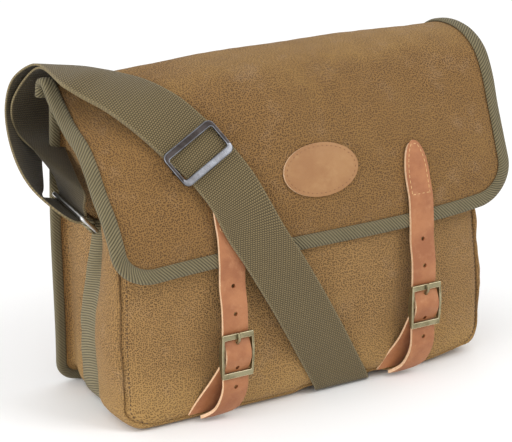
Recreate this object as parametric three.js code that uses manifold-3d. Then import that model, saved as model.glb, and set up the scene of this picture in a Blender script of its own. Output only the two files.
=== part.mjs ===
// A soft cloth field bag: a bulging body under a wide flap, two leather closing straps with
// buckles, and a webbing shoulder strap that lies across the front and passes under the bag.
// Millimetres, +Z up. The front faces -Y, the bag stands on the plane Z = 0, and the origin is
// the middle of its bottom.

import * as THREE from "three";
import { mergeVertices } from "three/addons/utils/BufferGeometryUtils.js";
import Module from "manifold-3d";

const wasm = await Module();
wasm.setup();

const { lerp, smoothstep, clamp, degToRad } = THREE.MathUtils;

// Driving dimensions.
const GAP = 0.4; // clearance between neighbouring pieces
const SOFT_GAP = 1.1; // clearance between two curved pieces of cloth
const CLOTH = 2; // wall of the panels, the gusset and the flap
const TAPE = 1.5; // binding tape
const TAPE_WIDTH = 10; // visible width of the binding on each face
const WEBBING = 1.8; // thickness of every webbing band
const SHOULDER_WIDTH = 50;
const LEATHER = 3; // closing straps
const LEATHER_WIDTH = 25;
const BUCKLE_LEATHER = 2; // the short straps that hold the buckles

const BODY_HALF_WIDTH = 190; // base line of the gusset on each side
const BODY_FLOOR = 6; // base line of the gusset along the bottom
const CORNER_RADIUS = 14; // bottom corners, seen from the front
const BACK_Y = 60.5; // back seam
const FRONT_Y = -65; // front seam
const GUSSET_TOP_BACK = 280;
const GUSSET_TOP_FRONT = 196;
const BACK_LEAN = 0.05; // the back leans forward by this share of the height
const FRONT_LEAN = 13; // the front seam draws back by this much under the flap
const RIGHT_DRAW = { foot: 6, top: 12 }; // the right side draws in at the front, more under the flap
const PANEL_BULGE = 17; // how far the front panel stands out of its seam
const PANEL_CROWN = 40; // the front panel's top edge rises by this much at the middle

const FLAP_HALF_WIDTH = 207;
const FLAP_CORNER_RADIUS = 36;

const STRAP_X = 100; // closing straps, left and right of the middle
const STRAP_POINT = 20; // length of their pointed ends
const HOLE_PITCH = 25;
const HOLE_RADIUS = 2;

const BUCKLE = { width: 30.8, height: 41, bar: 5, side: 2, depth: 2.4, axle: 1.2 };
const BUCKLE_Y = -97.5; // axle of both buckles
const BUCKLE_Z = { left: 66, right: 73 };

const SLIDER = { width: 60, height: 40, bar: 4.5, depth: 3 };
const RING = { width: 60.4, height: 25, bar: 4, x: 208, y: 4, z: 191, tilt: 45, slope: 0.14 };
const PATCH = { width: 77, height: 47, thickness: 2, centre: 0.758 };

const STEPS = { side: 9, corner: 4, bottom: 15, panel: 15, flap: 15, patch: 8 };

// Lines along the gusset from the back seam to the front seam. side, top and bottom say how far
// the cloth stands out from the base line; topY and bottomY are the line's place at the folded
// top and along the bottom.
const GUSSET_LINES = [
  { name: "flange tip", y: 60.5, topY: 60.5, bottomY: 60.5, side: 7, top: 7, bottom: 4 },
  { name: "flange root", y: 60.5, topY: 60.5, bottomY: 60.5, side: -4.5, top: -4.5, bottom: -8.5 },
  { name: "back half", y: 42, topY: 28, bottomY: 42, side: -2, top: -3, bottom: 1 },
  { name: "webbing back edge", y: 25, topY: -5, bottomY: 20, side: -2.5, top: -4, bottom: 3.8 },
  { name: "webbing middle", y: 5, topY: -15, bottomY: -8, side: -3.5, top: -22, bottom: 3.8 },
  { name: "webbing front edge", y: -15, topY: -25, bottomY: -20, side: -4.5, top: -5, bottom: 3.8 },
  { name: "bulge rise", y: -26, topY: -33, bottomY: -30, side: 5, top: 2, bottom: 6 },
  { name: "bulge crest", y: -42, topY: -45, bottomY: -56, side: 14, top: 7, bottom: 6 },
  { name: "bulge fall", y: -57, topY: -57, bottomY: -72.5, side: 12, top: 8, bottom: 3 },
  { name: "front seam", y: -65, topY: -65, bottomY: -70, side: 5, top: 4, bottom: -4 },
];
const WEBBING_LINES = [3, 4, 5]; // lines that carry the gusset's webbing band

// Profiles of the flap's outer face at its left edge, middle and right edge.
const FLAP_PROFILE = [
  { name: "back seam", leftY: 60, leftZ: 264, midY: 54.4, midZ: 266, rightY: 60, rightZ: 266 },
  { name: "back edge", leftY: 57, leftZ: 289, midY: 54, midZ: 291, rightY: 55, rightZ: 292 },
  { name: "top back", leftY: 48, leftZ: 291, midY: 42, midZ: 299, rightY: 41, rightZ: 299 },
  { name: "top", leftY: 34, leftZ: 277, midY: 18, midZ: 301, rightY: 17, rightZ: 299 },
  { name: "top front", leftY: 8, leftZ: 257, midY: -10, midZ: 296, rightY: -6, rightZ: 295 },
  { name: "shoulder", leftY: -17, leftZ: 244, midY: -34, midZ: 281, rightY: -22, rightZ: 284 },
  { name: "turn", leftY: -32, leftZ: 229, midY: -52, midZ: 258, rightY: -34, rightZ: 263 },
  { name: "upper front", leftY: -46, leftZ: 211, midY: -66, midZ: 234, rightY: -43, rightZ: 233 },
  { name: "middle front", leftY: -63, leftZ: 193, midY: -76, midZ: 210, rightY: -57, rightZ: 203 },
  { name: "lower front", leftY: -78, leftZ: 169, midY: -84, midZ: 178, rightY: -73, rightZ: 169 },
  { name: "lower edge", leftY: -86, leftZ: 141, midY: -87, midZ: 148, rightY: -80, rightZ: 146 },
];

// Inner face of a closing strap below the flap; z counts from the buckle's axle.
const STRAP_FALL = [
  { name: "below the flap", y: -91, z: 60 },
  { name: "over the front", y: -94.5, z: 42 },
  { name: "above the top bar", y: -95.4, z: 24 },
  { name: "under the top bar", y: -95.4, z: 17 },
  { name: "rise to the axle", y: -99.4, z: 8.5 },
  { name: "over the axle", y: -101.7, z: 2.5 },
  { name: "past the axle", y: -101.7, z: -2.5 },
  { name: "fall from the axle", y: -99.4, z: -8.5 },
  { name: "under the bottom bar", y: -95.4, z: -17 },
  { name: "below the bottom bar", y: -96, z: -25 },
];
// Tail of a closing strap, in heights above the ground.
const STRAP_TAIL = [
  { name: "tail", y: -96.5, z: 33 },
  { name: "bend", y: -93, z: 20 },
  { name: "turn to the ground", y: -89, z: 10 },
  { name: "on the ground", y: -83, z: 5 },
  { name: "tail end", y: -78, z: 3.9 },
];

// Middle line of a buckle strap from the bottom seam to the buckle's axle.
const BUCKLE_STRAP_RISE = [
  { name: "bottom seam", x: -8, y: -76.5, z: 8.5 },
  { name: "over the seam", x: -6, y: -80.5, z: 22 },
  { name: "along the front", x: -3, y: -87.5, z: 41 },
];

// The shoulder strap where it lies on the flap, as places on the flap: x across the bag and t
// along the flap. height is the middle of the lower and of the upper layer over the flap.
const STRAP_ON_FLAP = [
  { name: "back edge", x: -184, t: 0.14, lower: 8, upper: 11 },
  { name: "top back", x: -174, t: 0.2, lower: 4.6, upper: 7.4 },
  { name: "top", x: -164, t: 0.27, lower: 2.6, upper: 5.2 },
  { name: "top front", x: -154, t: 0.34, lower: 2, upper: 4.6 },
  { name: "shoulder", x: -145, t: 0.41, lower: 1.6, upper: 4.2 },
  { name: "turn", x: -135, t: 0.48, lower: 1.5, upper: 4 },
  { name: "upper slider bar", x: -125, t: 0.555, lower: 1.5, upper: 4.2 },
  { name: "rise", x: -120, t: 0.595, lower: 1.5, upper: 5.2 },
  { name: "slider's middle bar", x: -115, t: 0.63, lower: 1.5, upper: 6.1 },
  { name: "fall", x: -110, t: 0.665, upper: 5.8 },
  { name: "lower slider bar", x: -105, t: 0.705, upper: 5.8 },
  { name: "over the closing strap", x: -97, t: 0.77, upper: 6.9 },
];
const SLIDER_PLACE = 8; // row of the slider's middle bar

// Free loop from the flap's back corner to the left ring and back, as the strap's middle line;
// across points along its width, from the edge that lies lower on the front to the other.
const LEFT_LOOP = [
  { name: "inner layer, turned down", x: -197, y: 73, z: 293, across: [0.97, 0.2, 0] },
  { name: "inner layer, hanging", x: -205, y: 79, z: 270, across: [0.95, 0.3, 0] },
  { name: "inner layer, twisting", x: -210, y: 70, z: 246, across: [0.75, 0.62, -0.2] },
  { name: "inner layer, side", x: -212, y: 48, z: 227, across: [0.35, 0.8, -0.5] },
  { name: "inner layer, above the ring", x: -208.5, y: 22, z: 213, across: [0.1, 0.95, -0.3] },
  { name: "ring, inside", x: -204, y: 7, z: 201, across: [0, 1, 0.05] },
  { name: "ring, beside the bar", x: -203.6, y: 4, z: 191.5, across: [0, 1, 0.14] },
  { name: "ring, below the bar", x: -208, y: 4, z: 186.6, across: [0, 1, 0.14] },
  { name: "ring, outside", x: -214, y: 4.5, z: 188, across: [0, 1, 0.14] },
  { name: "outer layer, leaving the ring", x: -222, y: 9, z: 193.5, across: [0.1, 1, 0] },
  { name: "outer layer, side", x: -228, y: 28, z: 207, across: [0.3, 0.88, -0.3] },
  { name: "outer layer, twisting", x: -225, y: 58, z: 231, across: [0.65, 0.65, -0.3] },
  { name: "outer layer, hanging", x: -211, y: 83, z: 266, across: [0.95, 0.3, -0.1] },
  { name: "outer layer, turned down", x: -199, y: 78, z: 296, across: [0.97, 0.2, 0] },
];

// Line that the strap follows down the front, under the bag and up the back, seen from the side.
const STRAP_DRAPE = [
  { name: "lower front of the flap", y: -93.4, z: 170 },
  { name: "over the flap's edge", y: -96.5, z: 145 },
  { name: "below the flap's edge", y: -97, z: 126 },
  { name: "front", y: -96, z: 100 },
  { name: "lower front", y: -92, z: 66 },
  { name: "front foot", y: -85.5, z: 34 },
  { name: "bend", y: -81, z: 13 },
  { name: "front edge", y: -77.5, z: 4.2 },
  { name: "under the front", y: -70, z: 1.4 },
  { name: "bottom, front", y: -58, z: 1.05 },
  { name: "under the middle", y: 0, z: 1 },
  { name: "bottom, back", y: 57, z: 1.05 },
  { name: "under the back", y: 67.5, z: 1.4 },
  { name: "back edge", y: 73.2, z: 4.6 },
  { name: "back foot", y: 75, z: 14 },
  { name: "back", y: 71, z: 70 },
  { name: "upper back", y: 68, z: 120 },
  { name: "leaving the back", y: 67, z: 158 },
];
const DRAPE_SLOPE = 0.6; // the strap moves right by this much for each millimetre along the line
const DRAPE_BOTTOM_X = 72; // where it crosses the middle of the bottom
const STRAP_LIFT = 3.2; // the bottom is raised by this much over the strap

// Free loop from the back to the right ring, with the sewn end of the strap.
const RIGHT_LOOP = [
  { name: "loop at the back", x: 211, y: 70, z: 186, across: [0.7, -0.6, -0.4] },
  { name: "loop at the top", x: 221, y: 54, z: 208, across: [0.4, -0.85, -0.3] },
  { name: "loop over the ring", x: 222, y: 26, z: 212, across: [0.1, -0.95, 0] },
  { name: "right ring, outside", x: 214, y: 7, z: 200, across: [0, -1, 0] },
  { name: "right ring, beside the bar", x: 212.4, y: 4, z: 191.5, across: [0, -1, 0] },
  { name: "right ring, below the bar", x: 208, y: 4, z: 186.6, across: [0, -1, 0] },
  { name: "right ring, inside", x: 203.6, y: 4, z: 191.5, across: [0, -1, 0] },
  { name: "sewn end", x: 204.5, y: 5, z: 202, across: [0, -1, 0] },
];

// Webbing tab round the inner bar of a ring, at the mouth of the gusset's fold.
const TAB_FORWARD = 7; // the tabs sit this far before the middle of the rings
const TAB = [
  { name: "lower end", x: 191, z: 172.2, half: 11 },
  { name: "below the bar", x: 193.6, z: 172.1, half: 14 },
  { name: "outside the bar", x: 197.2, z: 176.2, half: 15 },
  { name: "above the bar", x: 193.6, z: 180.2, half: 14 },
  { name: "upper end", x: 191, z: 180.4, half: 11 },
];

const CLOTH_LOOK = new THREE.MeshStandardMaterial({ color: 0x9a7648, roughness: 0.95, metalness: 0 });
const WEBBING_LOOK = new THREE.MeshStandardMaterial({ color: 0x6e6950, roughness: 0.9, metalness: 0 });
const LEATHER_LOOK = new THREE.MeshStandardMaterial({ color: 0xb47855, roughness: 0.6, metalness: 0 });
const BRASS_LOOK = new THREE.MeshStandardMaterial({ color: 0xaaa582, roughness: 0.35, metalness: 1 });
const STEEL_LOOK = new THREE.MeshStandardMaterial({ color: 0x55565a, roughness: 0.4, metalness: 1 });

const vector = (x, y, z) => new THREE.Vector3(x, y, z);
const BACKWARD = vector(0, 1, 0);
const along = (point, direction, distance) => point.clone().addScaledVector(direction, distance);

// Fresh geometry from a list of points and triangles, with its faces pointing out.
function meshGeometry(points, triangles) {
  let volume = 0;
  for (const [a, b, c] of triangles) {
    volume += points[a].dot(vector(0, 0, 0).crossVectors(points[b], points[c]));
  }
  const order = volume < 0 ? triangles.map(([a, b, c]) => [a, c, b]) : triangles;
  const geometry = new THREE.BufferGeometry().setFromPoints(points);
  geometry.setIndex(order.flat());
  geometry.computeVertexNormals();
  return geometry;
}

// A closed wall between two matching grids, given as rows of outer and inner points.
function wallGeometry(rows) {
  const across = rows[0].outer.length;
  const last = rows.length - 1;
  const points = rows.flatMap((row) => [...row.outer, ...row.inner]);
  const outer = (i, j) => 2 * across * i + j;
  const inner = (i, j) => 2 * across * i + across + j;
  const triangles = [];
  const quad = (a, b, c, d) => triangles.push([a, b, c], [a, c, d]);
  for (let i = 0; i < last; i++) {
    for (let j = 0; j < across - 1; j++) {
      quad(outer(i, j), outer(i + 1, j), outer(i + 1, j + 1), outer(i, j + 1));
      quad(inner(i, j), inner(i, j + 1), inner(i + 1, j + 1), inner(i + 1, j));
    }
    quad(outer(i, 0), inner(i, 0), inner(i + 1, 0), outer(i + 1, 0));
    quad(outer(i, across - 1), outer(i + 1, across - 1), inner(i + 1, across - 1), inner(i, across - 1));
  }
  for (let j = 0; j < across - 1; j++) {
    quad(outer(0, j), outer(0, j + 1), inner(0, j + 1), inner(0, j));
    quad(outer(last, j), inner(last, j), inner(last, j + 1), outer(last, j + 1));
  }
  return meshGeometry(points, triangles);
}

// Unit normals of a grid of points, on the side where (row step) x (column step) points.
function gridNormals(grid) {
  const step = (list, k) => [list[Math.max(k - 1, 0)], list[Math.min(k + 1, list.length - 1)]];
  return grid.map((row, i) =>
    row.map((_, j) => {
      const [up, down] = step(grid, i).map((r) => r[j]);
      const [left, right] = step(row, j);
      return down.clone().sub(up).cross(right.clone().sub(left)).normalize();
    }),
  );
}

// A wall of cloth behind a grid of outer points.
function clothGeometry(grid, thickness, inward) {
  const normals = gridNormals(grid);
  return wallGeometry(
    grid.map((row, i) => ({
      outer: row,
      inner: row.map((p, j) => along(p, normals[i][j], inward * thickness)),
    })),
  );
}

function solidOf(geometry) {
  const bare = geometry.clone();
  for (const name of Object.keys(bare.attributes)) {
    if (name !== "position") bare.deleteAttribute(name);
  }
  const merged = mergeVertices(bare, 1e-3);
  return new wasm.Manifold(
    new wasm.Mesh({
      numProp: 3,
      vertProperties: new Float32Array(merged.attributes.position.array),
      triVerts: new Uint32Array(merged.index.array),
    }),
  );
}

function geometryOf(solid) {
  const { vertProperties, triVerts } = solid.getMesh();
  const geometry = new THREE.BufferGeometry();
  geometry.setAttribute("position", new THREE.BufferAttribute(new Float32Array(vertProperties), 3));
  geometry.setIndex(new THREE.BufferAttribute(new Uint32Array(triVerts), 1));
  geometry.computeVertexNormals();
  return geometry;
}

const joined = (first, ...others) =>
  geometryOf(others.reduce((solid, other) => solid.add(solidOf(other)), solidOf(first)));
const cut = (first, ...others) =>
  geometryOf(others.reduce((solid, other) => solid.subtract(solidOf(other)), solidOf(first)));

// Height that the bottom is raised by where the shoulder strap passes under it.
function strapLift(x, y) {
  const away = Math.abs(x - DRAPE_BOTTOM_X - DRAPE_SLOPE * y);
  return STRAP_LIFT * (1 - smoothstep(away, 38, 55));
}

function settle(point) {
  const share = clamp(1 - point.z / 45, 0, 1);
  return vector(point.x, point.y, point.z + strapLift(point.x, Math.min(point.y, BACK_Y)) * share);
}

// Stations along the gusset: down the left side, round the corner, along the bottom and up.
const SIDE_STATIONS = [];
for (let i = 0; i <= STEPS.side; i++) SIDE_STATIONS.push({ drop: i / STEPS.side, turn: 0 });
for (let i = 1; i <= STEPS.corner; i++) SIDE_STATIONS.push({ drop: 1, turn: i / STEPS.corner });
const BOTTOM_STATIONS = [];
const BOTTOM_HALF = BODY_HALF_WIDTH - CORNER_RADIUS;
for (let i = 1; i < STEPS.bottom; i++) {
  BOTTOM_STATIONS.push({ x: lerp(-BOTTOM_HALF, BOTTOM_HALF, i / STEPS.bottom), turn: 1 });
}
const GUSSET_STATIONS = [
  ...SIDE_STATIONS.map((s) => ({ ...s, leg: -1 })),
  ...BOTTOM_STATIONS,
  ...SIDE_STATIONS.map((s) => ({ ...s, leg: 1 })).reverse(),
];

// Direction that points out of the bag at a station, seen from the front.
function outward(station) {
  if (station.x !== undefined) return vector(0, 0, -1);
  const angle = degToRad(90 * station.turn);
  return vector(station.leg * Math.cos(angle), 0, -Math.sin(angle));
}

// Share of the fold that draws the top of the gusset in.
const foldShare = (station) => (station.turn > 0 ? 0 : 1 - smoothstep(station.drop, 0.2, 0.8));

// A point of the gusset's outer face on one of its lines, or extra millimetres outside it.
function gussetPoint(station, line, extra = 0, backward = 0) {
  const front = (BACK_Y - line.y) / (BACK_Y - FRONT_Y);
  const fold = foldShare(station);
  const out = lerp(lerp(line.side, line.bottom, smoothstep(station.turn, 0, 1)), line.top, fold) + extra;
  const way = outward(station);
  const level = lerp(line.y, line.bottomY, smoothstep(station.turn, 0, 1));
  const point = vector(0, lerp(level, line.topY, fold) + backward, 0);
  if (station.x !== undefined) {
    point.x = station.x;
    point.z = BODY_FLOOR - out;
  } else {
    const top = lerp(GUSSET_TOP_BACK, GUSSET_TOP_FRONT, front);
    const start = lerp(top, BODY_FLOOR + CORNER_RADIUS, station.drop);
    point.x = station.leg * BOTTOM_HALF + way.x * (CORNER_RADIUS + out);
    point.z = start + way.z * (CORNER_RADIUS + out);
  }
  if (station.leg === 1) {
    point.x -= (RIGHT_DRAW.foot + RIGHT_DRAW.top * smoothstep(point.z, 20, 170)) * front;
  }
  point.y -= BACK_LEAN * point.z * (1 - front);
  point.y += FRONT_LEAN * smoothstep(point.z, 130, 205) * front;
  return point;
}

const GUSSET_GRID = GUSSET_STATIONS.map((s) => GUSSET_LINES.map((line) => settle(gussetPoint(s, line))));

function gussetWebbing() {
  const normals = gridNormals(GUSSET_GRID);
  const ends = Math.round(0.36 * STEPS.side);
  const rows = GUSSET_GRID.map((row, i) => {
    const face = (height) => WEBBING_LINES.map((j) => along(row[j], normals[i][j], height));
    return { inner: face(GAP), outer: face(GAP + WEBBING) };
  });
  return wallGeometry(rows.slice(ends, rows.length - ends));
}

// How far the front panel stands out of its seam at a share of its width and a height.
function panelBulge(u, z) {
  const height = clamp((z - 8) / 252, 0, 1);
  return PANEL_BULGE * Math.pow(1 - u * u, 0.75) * Math.sin(Math.PI * Math.pow(height, 0.65));
}

// Height of a panel's row at a share of its width: between the bottom corners the rows run down
// evenly to the bottom seam.
function rowLevel(station, rim, foot, u) {
  const level = station.turn > 0 ? lerp(BODY_FLOOR + CORNER_RADIUS, foot.z, station.turn) : rim.z;
  return lerp(level, rim.z, u ** 6);
}

function panelGeometry(grid, inward) {
  return wallGeometry(
    grid.map((row) => ({ outer: row, inner: row.map((p) => along(p, BACKWARD, inward * CLOTH)) })),
  );
}

function frontPanel() {
  const seam = GUSSET_LINES.at(-1);
  const foot = gussetPoint({ x: 0, turn: 1 }, seam);
  const grid = SIDE_STATIONS.map((station) => {
    const [left, right] = [-1, 1].map((leg) => gussetPoint({ ...station, leg }, seam));
    const row = [];
    for (let k = 0; k <= STEPS.panel; k++) {
      const u = lerp(-1, 1, k / STEPS.panel);
      const rim = left.clone().lerp(right, k / STEPS.panel);
      const crown = PANEL_CROWN * (1 - u * u) * (1 - station.drop) ** 2;
      const z = rowLevel(station, rim, foot, u) + crown;
      const forward = (foot.y - FRONT_Y) * (1 - smoothstep(z, foot.z, 60));
      const y = lerp(Math.max(rim.y, FRONT_Y) + forward, rim.y, u ** 6);
      row.push(settle(vector(rim.x, y - SOFT_GAP - CLOTH - panelBulge(u, z), z)));
    }
    return row;
  });
  return panelGeometry(grid, 1);
}

function backPanel() {
  const tip = GUSSET_LINES[0];
  const backward = 2 * CLOTH + GAP;
  const foot = gussetPoint({ x: 0, turn: 1 }, tip, 0, backward);
  const grid = SIDE_STATIONS.map((station) => {
    const rim = gussetPoint({ ...station, leg: 1 }, tip, 0, backward);
    const row = [];
    for (let k = 0; k <= STEPS.panel; k++) {
      const u = lerp(1, -1, k / STEPS.panel);
      row.push(settle(vector(u * rim.x, rim.y, rowLevel(station, rim, foot, u))));
    }
    return row;
  });
  return panelGeometry(grid, -1);
}

function backBinding() {
  const tip = GUSSET_LINES[0];
  const front = -GAP;
  const back = 2 * CLOTH + 2 * GAP;
  const rows = GUSSET_STATIONS.map((station) => {
    const at = (extra, backward) => settle(gussetPoint(station, tip, extra, backward));
    const channel = (wall) => [
      at(-TAPE_WIDTH, front - wall),
      at(GAP + wall, front - wall),
      at(GAP + wall, back + wall),
      at(-TAPE_WIDTH, back + wall),
    ];
    return { outer: channel(TAPE), inner: channel(0) };
  });
  return wallGeometry(rows);
}

const profileCurve = (side) =>
  new THREE.CatmullRomCurve3(
    FLAP_PROFILE.map((row) => vector(0, row[side + "Y"], row[side + "Z"])),
    false,
    "centripetal",
  );
const FLAP_CURVES = { left: profileCurve("left"), mid: profileCurve("mid"), right: profileCurve("right") };
const FLAP_LENGTH = FLAP_CURVES.mid.getLength();

// A point of the flap's outer face: x across the bag, t from the back seam to the lower edge.
function flapPoint(x, t) {
  const u = x / FLAP_HALF_WIDTH;
  const edge = x < 0 ? FLAP_CURVES.left : FLAP_CURVES.right;
  const point = FLAP_CURVES.mid.getPointAt(t).lerp(edge.getPointAt(t), Math.abs(u) ** 3);
  point.x = x;
  return point;
}

function flapNormal(x, t) {
  const ahead = flapPoint(x, Math.min(t + 0.01, 1)).sub(flapPoint(x, Math.max(t - 0.01, 0)));
  const sideways = flapPoint(x + 1, t).sub(flapPoint(x - 1, t));
  return ahead.cross(sideways).normalize();
}

// Share of the flap's length at which a vertical line at x reaches a height on the front.
function flapShareAt(x, z) {
  let [upper, lower] = [0.3, 1];
  for (let k = 0; k < 30; k++) {
    const t = (upper + lower) / 2;
    if (flapPoint(x, t).z > z) upper = t;
    else lower = t;
  }
  return upper;
}

const FLAP_COLUMNS = [-1, -0.94, -0.8, -0.64, -0.48, -0.32, -0.16, 0, 0.16, 0.32, 0.48, 0.64, 0.8, 0.94, 1];

function flapGrid() {
  const roundFrom = 1 - FLAP_CORNER_RADIUS / FLAP_LENGTH;
  const rows = [];
  for (let i = 0; i <= STEPS.flap; i++) {
    rows.push({ t: (roundFrom * i) / STEPS.flap, half: FLAP_HALF_WIDTH });
  }
  for (let i = 1; i <= STEPS.corner; i++) {
    const angle = degToRad((90 * i) / STEPS.corner);
    const half = FLAP_HALF_WIDTH - FLAP_CORNER_RADIUS * (1 - Math.cos(angle));
    rows.push({ t: lerp(roundFrom, 1, Math.sin(angle)), half });
  }
  return {
    points: rows.map(({ t, half }) => FLAP_COLUMNS.map((c) => flapPoint(c * half, t))),
    normals: rows.map(({ t, half }) => FLAP_COLUMNS.map((c) => flapNormal(c * half, t))),
  };
}

function flap() {
  const { points, normals } = flapGrid();
  return wallGeometry(
    points.map((row, i) => ({ outer: row, inner: row.map((p, j) => along(p, normals[i][j], -CLOTH)) })),
  );
}

function flapBinding() {
  const { points, normals } = flapGrid();
  const last = points.length - 1;
  const end = FLAP_COLUMNS.length - 1;
  const rim = [];
  for (let i = 0; i < last; i++) rim.push([i, end]);
  for (let j = end; j >= 0; j--) rim.push([last, j]);
  for (let i = last - 1; i >= 0; i--) rim.push([i, 0]);
  const rows = rim.map(([i, j], k) => {
    const normal = normals[i][j];
    const middle = along(points[i][j], normal, -CLOTH / 2);
    const [before, after] = [rim[Math.max(k - 1, 0)], rim[Math.min(k + 1, rim.length - 1)]];
    const way = points[after[0]][after[1]].clone().sub(points[before[0]][before[1]]);
    const inward = way.cross(normal).normalize();
    const at = (depth, height) => along(along(middle, inward, depth), normal, height);
    const channel = (wall) => [
      at(TAPE_WIDTH, CLOTH / 2 + SOFT_GAP + wall),
      at(-GAP - wall, CLOTH / 2 + SOFT_GAP + wall),
      at(-GAP - wall, -CLOTH / 2 - SOFT_GAP - wall),
      at(TAPE_WIDTH, -CLOTH / 2 - SOFT_GAP - wall),
    ];
    return { outer: channel(TAPE), inner: channel(0) };
  });
  return wallGeometry(rows);
}

function ovalPatch() {
  const n = STEPS.patch;
  const rows = [];
  for (let i = 0; i <= n; i++) {
    const row = { inner: [], outer: [] };
    for (let j = 0; j <= n; j++) {
      const [u, v] = [lerp(-1, 1, i / n), lerp(-1, 1, j / n)];
      const x = (PATCH.width / 2) * u * Math.sqrt(1 - (v * v) / 2);
      const down = (PATCH.height / 2) * v * Math.sqrt(1 - (u * u) / 2);
      const t = PATCH.centre + down / FLAP_LENGTH;
      const [point, normal] = [flapPoint(x, t), flapNormal(x, t)];
      row.inner.push(along(point, normal, GAP));
      row.outer.push(along(point, normal, GAP + PATCH.thickness));
    }
    rows.push(row);
  }
  return wallGeometry(rows);
}

// A flat band along a line of points, with its width along X.
function bandGeometry(line, halfWidth, inside, outside) {
  const rows = line.map((p, k) => {
    const before = line[Math.max(k - 1, 0)];
    const after = line[Math.min(k + 1, line.length - 1)];
    const way = vector(0, after.y - before.y, after.z - before.z).normalize();
    const normal = vector(0, way.z, -way.y);
    const half = halfWidth(k);
    const face = (height) =>
      [-half, half].map((dx) => vector(p.x + dx, p.y + normal.y * height, p.z + normal.z * height));
    return { inner: face(inside), outer: face(outside) };
  });
  return wallGeometry(rows);
}

// Inner face of a closing strap, from its pointed end on the flap to its tail on the ground.
function closingStrapLine(x, axleZ) {
  const line = [];
  const from = flapShareAt(x, 222);
  for (let k = 0; k <= 9; k++) {
    const t = lerp(from, 1, k / 9);
    const clear = SOFT_GAP + (TAPE + SOFT_GAP) * smoothstep(t, 0.84, 0.93);
    line.push(along(flapPoint(x, t), flapNormal(x, t), clear));
  }
  const rest = [
    line.at(-2),
    line.pop(),
    ...STRAP_FALL.map((row) => vector(x, row.y, row.z + axleZ)),
    ...STRAP_TAIL.map((row) => vector(x, row.y, row.z)),
  ];
  const curve = new THREE.CatmullRomCurve3(rest, false, "centripetal");
  return [...line.slice(0, -1), ...curve.getPoints(44)];
}

// Rod of the prong; grow thickens it to the slot that it passes through.
function prongGeometry(x, axleZ, grow) {
  const path = [
    { y: -98.7, z: 3 },
    { y: -101, z: 6.5 },
    { y: -103.6, z: 11 },
    { y: -104.2, z: 16 },
    { y: -103.6, z: 21.5 },
  ].map((row) => vector(x, row.y, row.z + axleZ));
  const half = 1.1 + grow;
  return bandGeometry(path, () => half, -half, half);
}

function holes(line, x, axleZ) {
  const places = [2.5 * HOLE_PITCH - 1, 1.5 * HOLE_PITCH, -0.48 * HOLE_PITCH, -1.25 * HOLE_PITCH];
  return places.map((height) => {
    const nearest = line.reduce((best, p) =>
      Math.abs(p.z - axleZ - height) < Math.abs(best.z - axleZ - height) ? p : best,
    );
    return new THREE.CylinderGeometry(HOLE_RADIUS, HOLE_RADIUS, 16, 8).translate(x, nearest.y, nearest.z);
  });
}

function closingStrap(x, axleZ) {
  const line = closingStrapLine(x, axleZ);
  const lengths = [0];
  line.forEach((p, k) => {
    if (k > 0) lengths.push(lengths[k - 1] + p.distanceTo(line[k - 1]));
  });
  const total = lengths.at(-1);
  const half = (k) => {
    const point = clamp(lengths[k] / STRAP_POINT, 0, 1);
    const tail = clamp((total - lengths[k]) / 12, 0, 1);
    const shape = Math.min(Math.sqrt(1 - (1 - point) ** 2), Math.sqrt(1 - (1 - tail) ** 2));
    return (LEATHER_WIDTH / 2) * Math.max(shape, 0.16);
  };
  const strap = bandGeometry(line, half, 0, LEATHER);
  const bores = holes(line, x, axleZ).map((hole) => {
    const middle = new THREE.Box3().setFromBufferAttribute(hole.attributes.position).getCenter(vector(0, 0, 0));
    hole.translate(-middle.x, -middle.y, -middle.z).rotateX(Math.PI / 2);
    return hole.translate(middle.x, middle.y, middle.z);
  });
  return cut(strap, prongGeometry(x, axleZ, 0.5), ...bores);
}

function buckleStrap(x, axleZ) {
  const wrap = BUCKLE.axle + GAP + BUCKLE_LEATHER / 2;
  const rise = BUCKLE_STRAP_RISE.map((row) => vector(x + row.x, row.y, row.z));
  rise.push(vector(x, BUCKLE_Y + wrap + 0.4, axleZ - 8));
  const path = new THREE.CatmullRomCurve3(rise, false, "centripetal").getPoints(12);
  for (const angle of [0, 45, 90, 135, 180]) {
    const turn = degToRad(angle);
    path.push(vector(x, BUCKLE_Y + wrap * Math.cos(turn), axleZ + wrap * Math.sin(turn)));
  }
  path.push(vector(x, BUCKLE_Y - wrap, axleZ - 1.5));
  const half = () => LEATHER_WIDTH / 2 - 0.5;
  const band = bandGeometry(path, half, -BUCKLE_LEATHER / 2, BUCKLE_LEATHER / 2);
  return cut(band, prongGeometry(x, axleZ, 0.5));
}

// Frame of a buckle: flat end bars before the strap, side plates, and the axle behind it.
function buckle(x, axleZ) {
  const { width, height, bar, side, depth, axle } = BUCKLE;
  const front = BUCKLE_Y - 4.5;
  const plate = new THREE.Shape();
  plate.moveTo(front, -height / 2);
  plate.quadraticCurveTo(front - 2.4, 0, front, height / 2);
  plate.lineTo(front + 3, height / 2);
  plate.quadraticCurveTo(BUCKLE_Y + 3.4, 0, front + 3, -height / 2);
  plate.closePath();
  const plates = [-1, 1].map((end) =>
    new THREE.ExtrudeGeometry(plate, { depth: side, bevelEnabled: false, curveSegments: 8 })
      .rotateX(Math.PI / 2)
      .rotateZ(Math.PI / 2)
      .translate((end * (width - side)) / 2 - side / 2, 0, 0),
  );
  const bars = [-1, 1].map((end) =>
    new THREE.BoxGeometry(width - side, depth, bar).translate(
      0,
      front + depth / 2,
      (end * (height - bar)) / 2,
    ),
  );
  const rod = new THREE.CylinderGeometry(axle, axle, width - side, 10)
    .rotateZ(Math.PI / 2)
    .translate(0, BUCKLE_Y, 0);
  return joined(plates[0], plates[1], bars[0], bars[1], rod).translate(x, 0, axleZ);
}

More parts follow.
